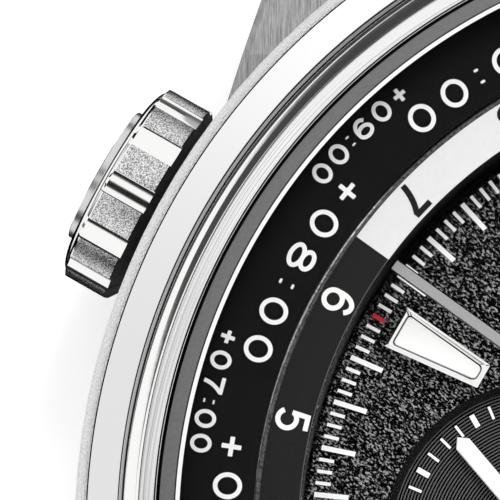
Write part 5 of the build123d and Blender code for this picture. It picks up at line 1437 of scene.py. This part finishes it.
# %% World
world = bpy.data.worlds.new("studio")
scene.world = world
world.use_nodes = True
tree = world.node_tree
background = tree.nodes["Background"]
start = Wire(tree, tree.nodes.new("ShaderNodeTexCoord").outputs["Generated"])


def away_from(direction, near, far):
    """0 within the near angle of a direction, 1 beyond the far angle, in degrees."""
    across = start.node("ShaderNodeVectorMath", {"operation": "DOT_PRODUCT"},
                        {0: start, 1: Vector(direction).normalized()}, 1)
    return across.step(math.cos(math.radians(near)), math.cos(math.radians(far)))


LENS_CARD = ((0.119, -0.136, 0.984), 12.8, 14.6)
BLACK_CARDS = (((-0.11, -0.015, 1), 4, 7), ((-0.573, -0.819, -0.05), 11, 14),
               ((-0.316, -0.374, 0.871), 6, 10))
lit = away_from(*LENS_CARD) * 0.955 + 0.045
for dark in BLACK_CARDS:
    lit = lit * away_from(*dark)
lit = lit * start.parts()[2].step(-0.02, 0.03) + 0.012
glossy, diffuse = [Wire(tree, tree.nodes.new("ShaderNodeLightPath").outputs[name])
                   for name in ("Is Glossy Ray", "Is Diffuse Ray")]
plain = 1 - glossy.sum("MAXIMUM", glossy, diffuse)
strength = glossy * lit + diffuse + plain
tree.links.new(strength.socket, background.inputs["Strength"])
background.inputs["Color"].default_value = grey(1)

lamp = bpy.data.objects.new("soft_lamp", bpy.data.lights.new("soft_lamp", "AREA"))
scene.collection.objects.link(lamp)
lamp.data.size, lamp.data.energy = 0.5, 7.0
lamp.location = (0.35, 0.61, 0.75)
lamp.rotation_euler = Vector(lamp.location).to_track_quat("Z", "Y").to_euler()
lamp.visible_glossy = False
print("world and lamp ready")

# %% [markdown]
# The floor lies just below the strap. It takes the soft shadows and stays white round the
# watch. A card a hair above it is seen by reflections only. It is black, because polished
# metal that mirrored the bright floor would lose its dark edges, and it glows white only
# where it is met at a middling slant, which gives the crown's flutes their bright bands.

# %% Floor and card
def level_sheet(name, reach, height, look):
    mesh = bpy.data.meshes.new(name)
    mesh.from_pydata([(-reach, -reach, height), (reach, -reach, height), (reach, reach, height),
                      (-reach, reach, height)], [], [(0, 1, 2, 3)])
    mesh.materials.append(look)
    thing = bpy.data.objects.new(name, mesh)
    scene.collection.objects.link(thing)
    thing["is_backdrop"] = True
    return thing


def floor_white(place):
    haze = place.noise(0.02, 1)
    ray = Wire(place.tree, place.tree.nodes.new("ShaderNodeLightPath").outputs["Is Camera Ray"])
    glow = ray * 0.40
    return {"Base Color": haze.between(grey(0.80), grey(0.81)),
            "Emission Color": glow.between(grey(0), grey(1))}


floor = level_sheet("floor", 2.0, -0.0003, finish("white_floor", grey(0.8), 0, 0.9, floor_white,
                                                  Emission_Strength=1.0,
                                                  Specular_IOR_Level=0.0))


def card_glow(place):
    """White where the card is met at a middling slant, black from above and far off."""
    slant = place.node("ShaderNodeLayerWeight", None, {"Blend": 0.5}, 1)
    glow = slant.step(0.22, 0.32) * (1 - slant.step(0.72, 0.82))
    return {"Emission Color": glow.between(grey(0), grey(1))}


card = level_sheet("black_card", 1.5, -0.0001,
                   finish("black_card", grey(0.0), 0, 1.0, card_glow, Emission_Strength=1.0,
                          Specular_IOR_Level=0.0))
card.visible_camera = card.visible_diffuse = card.visible_shadow = False
card.visible_transmission = card.visible_volume_scatter = False
print("floor and card ready")

# %% [markdown]
# The last cell gives the size of the imported solids and of the finished watch side by
# side.

# %% Sizes and finish
low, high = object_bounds()
{"cad": [list(cad_low), list(cad_high)], "visual": [list(low), list(high)]}
print("size in mm:", [round((b - a) / MM, 2) for a, b in zip(low, high)])
